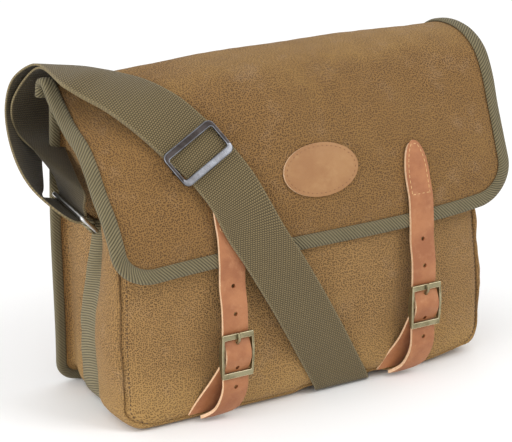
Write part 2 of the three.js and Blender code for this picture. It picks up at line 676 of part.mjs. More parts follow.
// Points across a band on a curved face: its width is square to the way that it runs there.
function bandAcross(before, after, halfWidth, place) {
  const way = new THREE.Vector2(after[0] - before[0], after[1] - before[1]).normalize();
  return [-1, 0, 1].map((side) => place(way.y * halfWidth * side, -way.x * halfWidth * side));
}

function strapOnFlap(layer) {
  const rows = STRAP_ON_FLAP.filter((row) => row[layer] !== undefined);
  return rows.map((row, k) => {
    const ends = [rows[Math.max(k - 1, 0)], rows[Math.min(k + 1, rows.length - 1)]];
    const [before, after] = ends.map((end) => [end.x, end.t * FLAP_LENGTH]);
    return bandAcross(before, after, SHOULDER_WIDTH / 2, (dx, down) => {
      const t = Math.max(row.t + down / FLAP_LENGTH, 0.06);
      return along(flapPoint(row.x + dx, t), flapNormal(row.x + dx, t), row[layer]);
    });
  });
}

// Keys of the strap along the drape's rows: each is level, and as long as the slanting band is wide.
function strapOnDrape() {
  const line = STRAP_DRAPE.map((row) => vector(0, row.y, row.z));
  const runs = [0];
  for (let k = 1; k < line.length; k++) runs.push(runs[k - 1] + line[k].distanceTo(line[k - 1]));
  const middle = runs[STRAP_DRAPE.findIndex((row) => row.name === "under the middle")];
  const half = (SHOULDER_WIDTH / 2) * Math.hypot(1, DRAPE_SLOPE);
  return line.map((p, k) => {
    const x = DRAPE_BOTTOM_X + DRAPE_SLOPE * (runs[k] - middle);
    return [-1, 0, 1].map((side) => vector(x + side * half, p.y, p.z));
  });
}

const freeKeys = (rows) =>
  rows.map((row) => {
    const width = vector(...row.across).normalize();
    return [-1, 0, 1].map((side) =>
      along(vector(row.x, row.y, row.z), width, (side * SHOULDER_WIDTH) / 2),
    );
  });

// A band of even thickness through keys, each a row of points across it.
function ribbonGeometry(keys, parts, thickness) {
  const curves = keys[0].map(
    (_, j) => new THREE.CatmullRomCurve3(keys.map((key) => key[j]), false, "centripetal"),
  );
  const last = (keys.length - 1) * parts;
  const grid = [];
  for (let k = 0; k <= last; k++) grid.push(curves.map((curve) => curve.getPoint(k / last)));
  const normals = gridNormals(grid);
  const face = (i, height) => grid[i].map((p, j) => along(p, normals[i][j], height));
  return wallGeometry(grid.map((_, i) => ({ inner: face(i, -thickness / 2), outer: face(i, thickness / 2) })));
}

function shoulderStrap() {
  const keys = [
    ...strapOnFlap("lower").reverse(),
    ...freeKeys(LEFT_LOOP),
    ...strapOnFlap("upper"),
    ...strapOnDrape(),
    ...freeKeys(RIGHT_LOOP),
  ];
  return ribbonGeometry(keys, 2, WEBBING);
}

function ringTab(side) {
  const keys = TAB.map((row) =>
    [-1, 0, 1].map((end) => {
      const y = end * row.half - TAB_FORWARD;
      return vector(side * row.x, RING.y + y, row.z + (side < 0 ? RING.slope * y : 0));
    }),
  );
  return ribbonGeometry(keys, 2, WEBBING);
}

function roundedFrame(width, height, bar, radius) {
  const outline = (w, h, r) => {
    const path = new THREE.Shape();
    path.moveTo(-w / 2 + r, -h / 2);
    path.lineTo(w / 2 - r, -h / 2);
    path.absarc(w / 2 - r, -h / 2 + r, r, -Math.PI / 2, 0);
    path.lineTo(w / 2, h / 2 - r);
    path.absarc(w / 2 - r, h / 2 - r, r, 0, Math.PI / 2);
    path.lineTo(-w / 2 + r, h / 2);
    path.absarc(-w / 2 + r, h / 2 - r, r, Math.PI / 2, Math.PI);
    path.lineTo(-w / 2, -h / 2 + r);
    path.absarc(-w / 2 + r, -h / 2 + r, r, Math.PI, 1.5 * Math.PI);
    path.closePath();
    return path;
  };
  const frame = outline(width, height, radius);
  frame.holes.push(outline(width - 2 * bar, height - 2 * bar, 0.5));
  return frame;
}

// Slide with two outer bars over the strap and a lower middle bar under it.
function slider() {
  const { width, height, bar, depth } = SLIDER;
  const frame = new THREE.ExtrudeGeometry(roundedFrame(width, height, bar, 4), {
    depth,
    bevelEnabled: false,
    curveSegments: 4,
  });
  const middle = new THREE.BoxGeometry(width - bar, 4, 1.2).translate(0, 0, -3.8);
  const feet = [-1, 1].map((end) =>
    new THREE.BoxGeometry(3, 4, 5).translate((end * (width - bar)) / 2, 0, -1.9),
  );
  return joined(frame, middle, ...feet);
}

// The slider lies flat on the strap, square to it.
function placedSlider() {
  const keys = strapOnFlap("upper");
  const [before, here, after] = [-1, 0, 1].map((step) => keys[SLIDER_PLACE + step]);
  const width = here[2].clone().sub(here[0]).normalize();
  const way = after[1].clone().sub(before[1]).normalize();
  const normal = way.clone().cross(width).normalize();
  const basis = new THREE.Matrix4().makeBasis(width, normal.clone().cross(width), normal);
  return slider().applyMatrix4(basis.setPosition(along(here[1], normal, 1.2)));
}

function ring(side) {
  const frame = new THREE.ExtrudeGeometry(roundedFrame(RING.width, RING.height, RING.bar, 5), {
    depth: RING.bar - 2,
    bevelThickness: 1,
    bevelSize: 1,
    bevelOffset: -1,
    bevelSegments: 1,
    curveSegments: 3,
  }).translate(0, 0, 1 - RING.bar / 2);
  return frame
    .rotateX(Math.PI / 2)
    .rotateZ(Math.PI / 2)
    .translate(0, 0, -RING.height / 2 + RING.bar / 2)
    .rotateY(degToRad(side * RING.tilt))
    .rotateX(side < 0 ? Math.atan(RING.slope) : 0)
    .translate(side * RING.x, RING.y, RING.z);
}

const root = new THREE.Group();

function add(name, geometry, look) {
  const mesh = new THREE.Mesh(geometry, look);
  mesh.name = name;
  root.add(mesh);
}

add("front_panel", frontPanel(), CLOTH_LOOK);
add("gusset", clothGeometry(GUSSET_GRID, CLOTH, -1), CLOTH_LOOK);
add("back_panel", backPanel(), CLOTH_LOOK);
add("back_binding", backBinding(), WEBBING_LOOK);
add("flap", flap(), CLOTH_LOOK);
add("flap_binding", flapBinding(), WEBBING_LOOK);
add("gusset_webbing", gussetWebbing(), WEBBING_LOOK);
add("oval_patch", ovalPatch(), LEATHER_LOOK);
for (const [side, x] of [["left", -STRAP_X], ["right", STRAP_X]]) {
  const axleZ = BUCKLE_Z[side];
  add(side + "_flap_strap", closingStrap(x, axleZ), LEATHER_LOOK);
  add(side + "_buckle_strap", buckleStrap(x, axleZ), LEATHER_LOOK);
  add(side + "_buckle", buckle(x, axleZ), BRASS_LOOK);
  add(side + "_prong", prongGeometry(x, axleZ, 0), BRASS_LOOK);
}
add("shoulder_strap", shoulderStrap(), WEBBING_LOOK);
add("slider", placedSlider(), STEEL_LOOK);
add("left_ring", ring(-1), STEEL_LOOK);
add("right_ring", ring(1), STEEL_LOOK);
add("left_ring_tab", ringTab(-1), WEBBING_LOOK);
add("right_ring_tab", ringTab(1), WEBBING_LOOK);

export default root;
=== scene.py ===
import math

import bpy
import numpy as np
from mathutils import Matrix, Quaternion, Vector, noise


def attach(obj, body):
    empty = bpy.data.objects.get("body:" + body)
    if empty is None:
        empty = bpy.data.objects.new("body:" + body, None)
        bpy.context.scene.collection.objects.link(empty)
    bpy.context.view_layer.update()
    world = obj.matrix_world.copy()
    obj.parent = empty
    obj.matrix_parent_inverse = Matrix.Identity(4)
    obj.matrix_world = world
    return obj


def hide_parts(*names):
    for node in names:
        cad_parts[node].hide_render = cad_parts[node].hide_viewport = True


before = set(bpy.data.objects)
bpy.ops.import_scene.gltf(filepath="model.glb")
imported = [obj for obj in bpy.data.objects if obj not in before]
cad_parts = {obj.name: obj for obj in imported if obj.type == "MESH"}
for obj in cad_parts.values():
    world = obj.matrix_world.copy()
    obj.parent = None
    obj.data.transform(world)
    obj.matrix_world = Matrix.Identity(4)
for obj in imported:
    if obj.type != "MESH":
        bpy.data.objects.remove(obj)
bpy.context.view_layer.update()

MM = 0.001  # the sizes and places below are in millimetres

# Camera

VIEW = {"turn": 31.46, "tilt": 18.93, "roll": 0.21, "distance": 2005.8, "lens": 154.69, "sensor": 36}
LOOK_AT = Vector((-19.97, 0, 145.28))


def deselect():
    if bpy.context.object and bpy.context.object.mode == "EDIT":
        bpy.ops.object.mode_set(mode="OBJECT")
    bpy.ops.object.select_all(action="DESELECT")


def choose(*pieces):
    """Selects only these pieces and makes the first one active."""
    deselect()
    for piece in pieces:
        piece.select_set(True)
    bpy.context.view_layer.objects.active = pieces[0]


def set_camera():
    turn, tilt = math.radians(VIEW["turn"]), math.radians(VIEW["tilt"])
    away = Vector((-math.sin(turn) * math.cos(tilt), -math.cos(turn) * math.cos(tilt), math.sin(tilt)))
    facing = away.to_track_quat("Z", "Y") @ Quaternion((0, 0, 1), math.radians(VIEW["roll"]))
    deselect()
    place = (LOOK_AT + away * VIEW["distance"]) * MM
    bpy.ops.object.camera_add(location=place, rotation=facing.to_euler())
    camera = bpy.context.object
    camera.data.sensor_width = VIEW["sensor"]
    camera.data.lens = VIEW["lens"]
    bpy.context.scene.camera = camera


set_camera()

# Sizes of the bag

# Thicknesses, the gap between pieces that touch, and the widths of softened edges.
CLOTH = 2
TAPE = 1.2
WEBBING = 1.8
LEATHER = 3
BUCKLE_LEATHER = 2
GAP = 0.4
EDGE = {"cloth": 0.5, "front": 0.6, "tape": 0.4, "webbing": 0.5, "tab": 0.4, "patch": 0.5, "strap": 0.45,
        "buckle_strap": 0.35, "buckle": 0.55, "axle": 0.3, "slider": 0.9, "slider_bar": 0.4}

# The body. Pairs are where a change starts and where it is full: heights, or shares of a side's drop.
BODY_HALF_WIDTH = 190
BODY_FLOOR = 6
CORNER_RADIUS = 14
BACK_Y = 60.5
FRONT_Y = -65
GUSSET_TOP = {"back": 280, "front": 196}
BACK_LEAN = 0.05
FRONT_LEAN = 13
FRONT_LEAN_Z = (130, 205)
RIGHT_DRAW = {"foot": 6, "top": 12}
RIGHT_DRAW_Z = (20, 170)
BACK_DRAW = 6
BACK_DRAW_Z = (10, 190)
BULGE_TAPER = 0.55
TAPER_DROP = (0.6, 1)
FOLD_DROP = (0.2, 0.8)
PANEL = {"bulge": 17, "crown": 40, "roll": 3.3, "roll_from": 0.972, "forward": 2, "gap": 1.1, "foot_top": 60,
         "bulge_foot": 8, "bulge_height": 252, "bulge_round": 0.75, "bulge_sag": 0.65, "rim_power": 6}
BACK_INSET = 1.5
BINDING_MIDDLE = CLOTH + 0.2
# Low dents of the cloth: how deep, how wide, and where in the noise they are taken.
DENTS = {
    "gusset": {"reach": 1.3, "scale": 34, "seed": 3.0}, "front": {"reach": 1.6, "scale": 70, "seed": 9.0},
    "back": {"reach": 1.2, "scale": 80, "seed": 21.0}, "flap": {"reach": 1.5, "scale": 60, "seed": 14.0},
}
# Lower corners: how far they rise, and where across the bag that starts and is full.
CORNER_RISE = {"left": (1, 150, 205), "right": (11, 110, 200)}
CORNER_RISE_TOP = 70

# Flap, tapes and patch. A tape's size is its depth from the edge and its height on both faces.
FLAP_HALF_WIDTH = 207
FLAP_CORNER_RADIUS = 36
BACK_TAPE_SIZE = (8, 3.3, 3.3)
FLAP_TAPE_SIZE = (9.6, 2.9, 2.8)
TAPE_FACE = [(1, 0.45), (0.86, 0.9), (0.5, 1), (0.12, 0.96)]
TAPE_FOLD = {"start": -1.1, "share": 0.62, "tip": -1.7, "middle": 0.1}
PATCH = {"width": 77, "height": 47, "thickness": 2, "gap": 0.2, "centre": 0.758, "grid": 41}

# Straps and metal parts
STRAP_X = 100
CLOSING = {"point": 32, "tail": 12, "least": 0.04, "top_z": 222, "gap": 1.1, "over_tape": 2.6,
           "tape_shares": (0.84, 0.93), "crown": 0.5, "bore": 16}
LEATHER_WIDTH = 25
SHOULDER_WIDTH = 50
DRAPE = {"bottom_x": 72, "slope": 0.6, "lift": 3.2, "lift_top": 45, "lift_edge": (38, 55)}
BUCKLE = {"width": 30.8, "height": 41, "bar": 5, "side": 2, "depth": 2.4, "axle": 1.2, "front": -102,
          "bow_out": 0.9, "bow_front": -0.9, "bow_back": 3.4}
BUCKLE_Y = -97.5
BUCKLE_Z = {"left": 66, "right": 73}
BUCKLE_STRAP = {"inset": 0.5, "below": 8, "end": 1.5, "hole_up": 2.5, "hole_radius": 2.2, "bore": 8}
PRONG = {"radius": 1.35, "taper_from": 0.86, "taper": 0.85, "least": 0.2}
SLIDER = {"width": 58, "height": 35, "bar": 6.4, "side": 3.2, "depth": 3, "corner": 6, "place": 7, "turn": -6,
          "shift": -4.5, "lift": 1.2, "highlight_below": -0.3}
SLIDER_BAR = {"thick": 1.2, "high": 4, "back": 6.8}
SLIDER_LEG = {"wide": 1.8, "deep": 5, "high": 3, "back": 4.9}
RING = {"width": 60.4, "height": 25, "bar": 4, "corner": 5, "x": 208, "y": 4, "z": 191, "tilt": 45,
        "slope": 0.14}

# Lines of the gusset from the back flange to the front seam: their depth (y) at the side, top and
# bottom, and how far they stand out there.
GUSSET_LINES = np.array([
    (60.5, 60.5, 60.5, 8, 8, 3),  # flange tip
    (60.5, 60.5, 60.5, -4.5, -4.5, -8.5),  # flange root
    (42, 28, 42, -2, -3, 1),  # back half
    (28, -5, 20, -2.5, -4, 3.8),  # webbing, back edge
    (9, -15, -8, -3.5, -22, 3.8),  # webbing, middle
    (-10, -25, -20, -5, -5, 3.8),  # webbing, front edge
    (-19, -33, -30, 9, 2, 6),  # bulge rises
    (-42, -45, -56, 14, 7, 6),  # bulge crest
    (-57, -57, -68.5, 12, 8, 5.2),  # bulge falls
    (-64.5, -64.5, -73.8, 7.5, 6, 1.6),  # roll beside the seam
    (-63, -63, -72.5, 4.5, 3.5, -1.8),  # front seam
    (-58, -58, -67, 2, 1, -5.5),  # turned in behind the seam
], float)
FLANGE_TIP = np.array([(60.5, 60.5, 60.5, 9.5, 9.5, 4)], float)
WEBBING_LINES = (3, 5)

# Section of the flap at its left edge, middle and right edge (y, z each), from the back seam over the
# top to the lower edge.
FLAP_PROFILE = np.array([
    (60, 276, 55.8, 264, 57.5, 265),
    (57, 289, 55.4, 287, 54.5, 284),
    (48, 291, 42, 299, 39, 295),
    (34, 277, 18, 301, 17, 300),
    (8, 257, -10, 296, -10, 297),
    (-17, 244, -34, 281, -31, 285),
    (-32, 229, -52, 258, -44, 264),
    (-46, 211, -66, 234, -54, 236),
    (-63, 193, -76, 210, -65, 209),
    (-78, 169, -84, 178, -76, 181),
    (-86, 141, -87, 148, -81, 157),
], float)

# A closing strap below the flap: its inner face (y, z) from the axle's height, then on the ground.
STRAP_FALL = [
    (-91, 60), (-94.5, 42), (-95.4, 24), (-95.4, 17), (-99.4, 8.5), (-101.7, 2.5),
    (-101.7, -2.5), (-99.4, -8.5), (-95.4, -17), (-96, -25),
]
STRAP_TAIL = [(0, -95.5, 34), (-1, -91.5, 22), (-4, -87, 13), (-11, -82, 7.5), (-20, -78.5, 5.5)]
HOLE_HEIGHTS = (61.5, 37.5, 12.2, -12, -31.25)
HOLE_RADIUS = 2
STRAP_SEAM = {"cross_z": 176, "from_point": 3.6, "inset": 3, "cross_half": 9.5, "sunk": 0.15}
PRONG_PATH = [(-97.8, 5), (-99.4, 9), (-102.6, 13), (-104.3, 16.5), (-104, 21.5)]
BUCKLE_STRAP_RISE = [(-24, -77, 8.5), (-17, -81, 22), (-7, -88, 41)]

# The shoulder strap over the flap: x, share of the flap's length, heights of its two layers, and how
# far its left edge stands off the flap where the flap falls away below it.
STRAP_ON_FLAP = [
    (-174, 0.2, 1.5, 4, 27), (-164, 0.27, 1.6, 4.2, 20), (-154, 0.34, 1.6, 4.2, 12),
    (-145, 0.41, 1.6, 4.2, 6), (-135, 0.48, 1.5, 4, 3), (-124, 0.555, 1.5, 4.2, 1),
    (-118, 0.595, 1.5, 5.2, 0), (-112.5, 0.63, 1.5, 6.1, 0), (-107, 0.665, None, 5.8, 0),
    (-101.5, 0.705, None, 5.8, 0), (-93, 0.77, None, 6.9, 0),
]
LOWER_LAYER, UPPER_LAYER = 2, 3
FIRST_SHARE = 0.06
# Free loops of the shoulder strap to its rings: middle and the way that its width lies.
LEFT_LOOP = [
    (-183, 68, 294, -0.97, -0.2, 0.24), (-202, 80, 268, -0.95, -0.3, 0.1),
    (-204, 70, 243, -0.95, -0.2, 0.2), (-210, 19, 223, -0.3, 0.9, 0.25), (-208, 0, 211, -0.1, 1, 0.12),
    (-205.5, 3, 199, 0, 1, 0.12), (-203.6, 4, 191.5, 0, 1, 0.14), (-208, 4, 186.6, 0, 1, 0.14),
    (-214, 4.5, 188, 0, 1, 0.14), (-222, 10, 192, 0.1, 1, 0), (-225, 30, 203, 0.6, 0.75, -0.35),
    (-221, 56, 228, 0.78, 0.5, -0.3), (-207, 84, 263, 0.95, 0.3, -0.15),
    (-199, 83, 286, 0.95, 0.27, -0.15), (-184, 71, 297, 0.97, 0.2, -0.24),
]
RIGHT_LOOP = [
    (211, 70, 186, 0.7, -0.6, -0.4), (221, 54, 208, 0.4, -0.85, -0.3), (222, 26, 212, 0.1, -0.95, 0),
    (214, 7, 200, 0, -1, 0), (212.4, 4, 191.5, 0, -1, 0), (208, 4, 186.6, 0, -1, 0),
    (203.6, 4, 191.5, 0, -1, 0), (204.5, 5, 202, 0, -1, 0),
]
# Fall of the shoulder strap over the front, under the bag and up behind it (y, z).
STRAP_DRAPE = [
    (-93.4, 170), (-96.5, 145), (-97, 126), (-96, 100), (-92, 66), (-85.5, 34), (-81, 13),
    (-77.5, 4.2), (-70, 1.4), (-58, 1.05), (0, 1), (57, 1.05), (67.5, 1.4), (73.2, 4.6), (75, 14),
    (71, 70), (68, 120), (67, 158),
]
DRAPE_MIDDLE = 10
# Fold of webbing that holds a ring: x, z and half its width.
RING_TAB = [
    (191, 172.2, 11), (193.6, 172.1, 14), (197.2, 176.2, 15), (193.6, 180.2, 14), (191, 180.4, 11),
]
TAB_FORWARD = 7

# Curves and grids


def lerp(low, high, share):
    return low + (high - low) * share


def smoothstep(value, low, high):
    share = np.clip((value - low) / (high - low), 0, 1)
    return share * share * (3 - 2 * share)


def unit(vectors):
    return vectors / np.maximum(np.linalg.norm(vectors, axis=-1, keepdims=True), 1e-9)


def spline(keys, parts):
    """A smooth curve through the keys, or a grid of curves through rows of keys."""
    keys = np.asarray(keys, float)
    keys = np.concatenate([2 * keys[:1] - keys[1:2], keys, 2 * keys[-1:] - keys[-2:-1]])
    gaps = np.sqrt(np.maximum(np.linalg.norm(np.diff(keys, axis=0), axis=-1, keepdims=True), 1e-6))
    share = (np.arange(1, parts + 1) / parts).reshape(-1, *[1] * (keys.ndim - 1))
    curve = [keys[1:2]]
    for i in range(1, len(keys) - 2):
        a, b, c, d = keys[i - 1 : i + 3]
        before, here, after = gaps[i - 1 : i + 2]
        leave = ((b - a) / before - (c - a) / (before + here) + (c - b) / here) * here
        arrive = ((c - b) / here - (d - b) / (here + after) + (d - c) / after) * here
        square, cube = share**2, share**3
        curve.append(
            b * (2 * cube - 3 * square + 1)
            + leave * (cube - 2 * square + share)
            + c * (3 * square - 2 * cube)
            + arrive * (cube - square)
        )
    return np.concatenate(curve)


def lengths_along(line):
    return np.concatenate([[0], np.cumsum(np.linalg.norm(np.diff(line, axis=0), axis=-1))])


def pick(at, run, rows):
    """Rows of values at chosen lengths; run holds the length at each given row."""
    return np.stack([np.interp(at, run, column) for column in rows.T], -1)


def evenly(line, count):
    run = lengths_along(line)
    return pick(np.linspace(0, run[-1], count), run, line)


def ways(line):
    return unit(np.gradient(line, axis=0))


# Finishes


def tint(red, green, blue):
    """Colour of a finish, from the eye's 0 to 255 scale."""
    def light(level):
        level /= 255
        return level / 12.92 if level <= 0.04045 else ((level + 0.055) / 1.055) ** 2.4
    return (light(red), light(green), light(blue), 1)


class Wire:
    """A value in a finish's nodes; sums with it add the Math nodes that work them out."""

    def __init__(self, tree, socket=None):
        self.tree, self.socket = tree, socket

    def node(self, kind, values, output=0, **settings):
        made = self.tree.nodes.new("ShaderNode" + kind)
        for name, value in settings.items():
            setattr(made, name, value)
        for name, value in values.items():
            if isinstance(value, Wire):
                self.tree.links.new(value.socket, made.inputs[name])
            else:
                made.inputs[name].default_value = value
        return Wire(self.tree, made.outputs[output])

    def math(self, operation, *values):
        return self.node("Math", dict(enumerate(values)), operation=operation)

    def __add__(self, other):
        return self.math("ADD", self, other)

    def __sub__(self, other):
        return self.math("SUBTRACT", self, other)

    def __rsub__(self, other):
        return self.math("SUBTRACT", other, self)

    def __mul__(self, other):
        return self.math("MULTIPLY", self, other)

    def __truediv__(self, other):
        return self.math("DIVIDE", self, other)

    def __pow__(self, other):
        return self.math("POWER", self, other)

    __radd__ = __add__
    __rmul__ = __mul__

    def wave(self):
        """Rises from 0 to 1 and back over each whole step of the value."""
        return self.math("ABSOLUTE", self.math("SINE", self * math.pi))

    def step(self, low, high):
        return self.node("MapRange", {"Value": self, "From Min": low, "From Max": high},
                         interpolation_type="SMOOTHSTEP")

    def mix(self, low, high):
        """Colour that goes from low to high as the value goes from 0 to 1."""
        return self.node("Mix", {0: self, 6: low, 7: high}, output=2, data_type="RGBA")

    def clouds(self, scale, detail=3, rough=0.55, output="Fac"):
        values = {"Vector": self, "Scale": scale, "Detail": detail, "Roughness": rough}
        return self.node("TexNoise", values, output=output)

    def cells(self, scale, spread=1.0, dimensions="3D"):
        return self.node("TexVoronoi", {"Vector": self, "Scale": scale, "Randomness": spread},
                         output="Distance", voronoi_dimensions=dimensions)

    def wander(self, scale, reach):
        """The place, moved about a little by a noise."""
        drift = self.node("VectorMath", {0: self.clouds(scale, 2, output="Color"), "Scale": reach},
                          operation="SCALE")
        return self.node("VectorMath", {0: self, 1: drift}, operation="ADD")


def plain_finish(name, **fixed):
    finish = bpy.data.materials.new(name)
    finish.use_nodes = True
    shader = finish.node_tree.nodes["Principled BSDF"]
    for socket, value in fixed.items():
        shader.inputs[socket.replace("_", " ")].default_value = value
    return finish, shader


def new_finish(name, **fixed):
    finish, shader = plain_finish(name, **fixed)
    return finish, shader, Wire(finish.node_tree).node("TexCoord", {}, output="Object")


def feed(shader, places, height=None, depth=0.0004, **wires):
    for socket, wire in wires.items():
        places.tree.links.new(wire.socket, shader.inputs[socket.replace("_", " ")])
    if height is not None:
        bump = places.node("Bump", {"Height": height, "Distance": depth, "Strength": 1.0})
        places.tree.links.new(bump.socket, shader.inputs["Normal"])


def weave_places(places):
    """Across and along a piece of webbing or tape, in millimetres."""
    uv = places.node("UVMap", {}, uv_map="UVMap")
    across = places.node("SeparateXYZ", {0: uv}, output=0)
    along = places.node("SeparateXYZ", {0: uv}, output=1)
    return across * 1000, along * 1000


def pored_cloth(name, pale, deep):
    """Waxed cloth with a pebbled grain and random mottle, with painted highlight: paler on the ridge and
    along the foot of the bag.
    """
    finish, shader, places = new_finish(
        name, Roughness=0.9, Specular_IOR_Level=0.18, Sheen_Weight=0.05, Sheen_Roughness=0.6
    )
    flat = places.node("UVMap", {}, uv_map="UVMap")
    size = (places.clouds(60, 3) - 0.5) * 0.16
    pore = (flat.wander(300, 0.0003).cells(530, 0.72, "2D") + size).step(0.39, 0.16)
    speck = (flat.wander(800, 0.0006).cells(620, 1.0, "2D") + size).step(0.3, 0.1)
    height = places.node("SeparateXYZ", {0: places}, output=2)
    cloud = places.clouds(18, 4, 0.6)
    # Painted highlight: paler bands set by height, high on the ridge and low along the foot.
    painted_highlight = (height + (cloud - 0.5) * 0.05).step(0.278, 0.304) * 0.8
    painted_highlight = painted_highlight + (height + (cloud - 0.5) * 0.09).step(0.075, 0.0) * 0.7
    # Random mottle is added to the painted highlight; together they pale the cloth and fade its pores.
    highlight_and_mottle = places.math("MINIMUM", painted_highlight + cloud.step(0.52, 0.8) * 0.45, 1.0)
    smudge = places.clouds(40, 4, 0.65).step(0.5, 0.75)
    pores = (pore * 0.85 + speck * 0.25) * (1 - highlight_and_mottle * 0.4)
    ground = highlight_and_mottle.mix(deep, pale)
    ground = (smudge * 0.3).mix(ground, tint(156, 128, 98))
    shade = (pores * 0.94).mix(ground, tint(75, 50, 26))
    feed(shader, places, (1 - pores) + places.clouds(1300, 2) * 0.2, 0.0006, Base_Color=shade)
    return finish


WEAVE = {"row": 2.1, "strand": 2.05, "selvedge": (1.8, 0.7)}  # millimetres


def woven_webbing(name, dark, light, half_width):
    finish, shader, places = new_finish(name, Roughness=0.86, Specular_IOR_Level=0.2, Sheen_Weight=0.1)
    across, along = weave_places(places)
    row = along / WEAVE["row"]
    turned = row.math("FLOOR", row).math("MODULO", row.math("FLOOR", row), 2.0)
    lump = (row.wave() * (across / WEAVE["strand"] + turned * 0.5).wave()) ** 0.6
    edge = across.math("ABSOLUTE", across).step(*(half_width - inset for inset in WEAVE["selvedge"]))
    dust = places.clouds(34, 4, 0.6)
    strand = places.clouds(700, 2)
    light = (dust * 0.4).mix(light, tint(146, 128, 88))
    shade = (lump * (0.75 + strand * 0.4)).mix(dark, light)
    shade = (edge * 0.2).mix(shade, tint(160, 146, 112))
    feed(shader, places, lump * 0.8 + strand * 0.2, 0.0006, Base_Color=shade)
    return finish


def twill_tape(name, lean, pitch, dark, light, dusty):
    finish, shader, places = new_finish(name, Roughness=0.88, Specular_IOR_Level=0.18, Sheen_Weight=0.1)
    across, along = weave_places(places)
    rib = ((along + across * lean) / pitch).wave()
    strand = ((along - across * lean) / 0.8).wave()
    dust = places.clouds(40, 4, 0.6)
    body = rib**0.7 * (0.85 + strand * 0.15)
    shade = body.mix(dark, dust.mix(light, dusty))
    feed(shader, places, body, 0.0011, Base_Color=shade)
    return finish


def oiled_leather(name, base, deep, pale):
    finish, shader, places = new_finish(
        name, Specular_IOR_Level=0.4, Coat_Weight=0.06, Coat_Roughness=0.4
    )
    cloud = places.clouds(30, 5, 0.62)
    blot = places.clouds(95, 4, 0.6)
    grain = places.wander(900, 0.0006).cells(950)
    crease = places.clouds(260, 3, 0.7)
    shade = cloud.step(0.35, 0.66).mix(deep, base)
    shade = (blot.step(0.5, 0.78) * 0.55).mix(shade, pale)
    shade = ((1 - grain.step(0.02, 0.3)) * 0.25).mix(shade, deep)
    rough = 0.42 + blot * 0.28
    feed(shader, places, grain * 0.5 + crease * 0.5, 0.0004, Base_Color=shade, Roughness=rough)
    return finish


def cut_edge(name, pale, deep):
    finish, shader, places = new_finish(name, Roughness=0.85, Specular_IOR_Level=0.2)
    fibre = places.clouds(520, 4, 0.7)
    feed(shader, places, fibre, 0.0004, Base_Color=fibre.step(0.25, 0.75).mix(deep, pale))
    return finish


def worn_metal(name, base, tarnish, roughness, scale=70):
    finish, shader, places = new_finish(name, Metallic=1.0)
    stain = places.clouds(scale, 5, 0.65)
    speck = places.clouds(scale * 12, 3, 0.6)
    shade = stain.step(0.35, 0.75).mix(base, tarnish)
    rough = roughness + stain * 0.16 + speck * 0.06
    feed(shader, places, speck, 0.00008, Base_Color=shade, Roughness=rough)
    return finish


def sewing_thread(name, light, dark):
    finish, shader, places = new_finish(name, Roughness=0.7, Specular_IOR_Level=0.3, Sheen_Weight=0.2)
    twist = places.clouds(1600, 2)
    feed(shader, places, twist, 0.0002, Base_Color=twist.step(0.3, 0.7).mix(dark, light))
    return finish


FLAP_CLOTH = pored_cloth("flap_cloth", tint(146, 113, 65), tint(131, 98, 56))
BODY_CLOTH = pored_cloth("body_cloth", tint(165, 131, 79), tint(149, 115, 70))
STRAP_WEB = woven_webbing("strap_webbing", tint(24, 20, 12), tint(128, 112, 79), SHOULDER_WIDTH / 2)
# Painted shade: the strap's back face is near-black, standing for the shade inside the left loop.
STRAP_BACK_SHADE = woven_webbing("strap_webbing_painted_shade", tint(8, 7, 4), tint(64, 55, 38), SHOULDER_WIDTH / 2)
RIB_TINTS = (tint(72, 65, 46), tint(128, 117, 87), tint(150, 138, 106))
TAPE_TINTS = (tint(54, 48, 33), tint(116, 106, 78), tint(138, 127, 96))
GUSSET_WEB = twill_tape("gusset_webbing_ribs", 0.3, 2.5, *RIB_TINTS)
FLAP_TAPE = twill_tape("flap_tape", 1.0, 3.1, *TAPE_TINTS)
BACK_TAPE = twill_tape("back_tape", -1.0, 3.1, *TAPE_TINTS)
STRAP_LEATHER = oiled_leather("strap_leather", tint(167, 110, 70), tint(145, 89, 54), tint(182, 130, 91))
PATCH_LEATHER = oiled_leather("patch_leather", tint(158, 116, 73), tint(147, 103, 62), tint(167, 128, 86))
RAW_EDGE = cut_edge("raw_leather_edge", tint(236, 204, 170), tint(206, 164, 124))
BRASS = worn_metal("antique_brass", tint(158, 150, 120), tint(112, 102, 74), 0.32)
BRIGHT_BRASS = worn_metal("rubbed_brass", tint(240, 232, 198), tint(216, 204, 160), 0.3)
GUNMETAL = worn_metal("gunmetal", tint(70, 65, 64), tint(50, 45, 43), 0.36)
# Painted highlight: a paler blue-grey copy of the gunmetal for the slider's lower bar and rounded edges.
GUNMETAL_HIGHLIGHT = worn_metal("gunmetal_painted_highlight", tint(132, 134, 140), tint(96, 94, 96), 0.28)
STEEL = worn_metal("ring_steel", tint(206, 206, 204), tint(168, 168, 166), 0.22)
CREAM_THREAD = sewing_thread("cream_thread", tint(220, 180, 128), tint(182, 140, 92))
TAN_THREAD = sewing_thread("tan_thread", tint(142, 98, 60), tint(112, 74, 44))
OLIVE_THREAD = sewing_thread("olive_thread", tint(96, 88, 64), tint(58, 52, 36))
BROWN_THREAD = sewing_thread("brown_thread", tint(92, 66, 38), tint(58, 40, 22))

# Making pieces


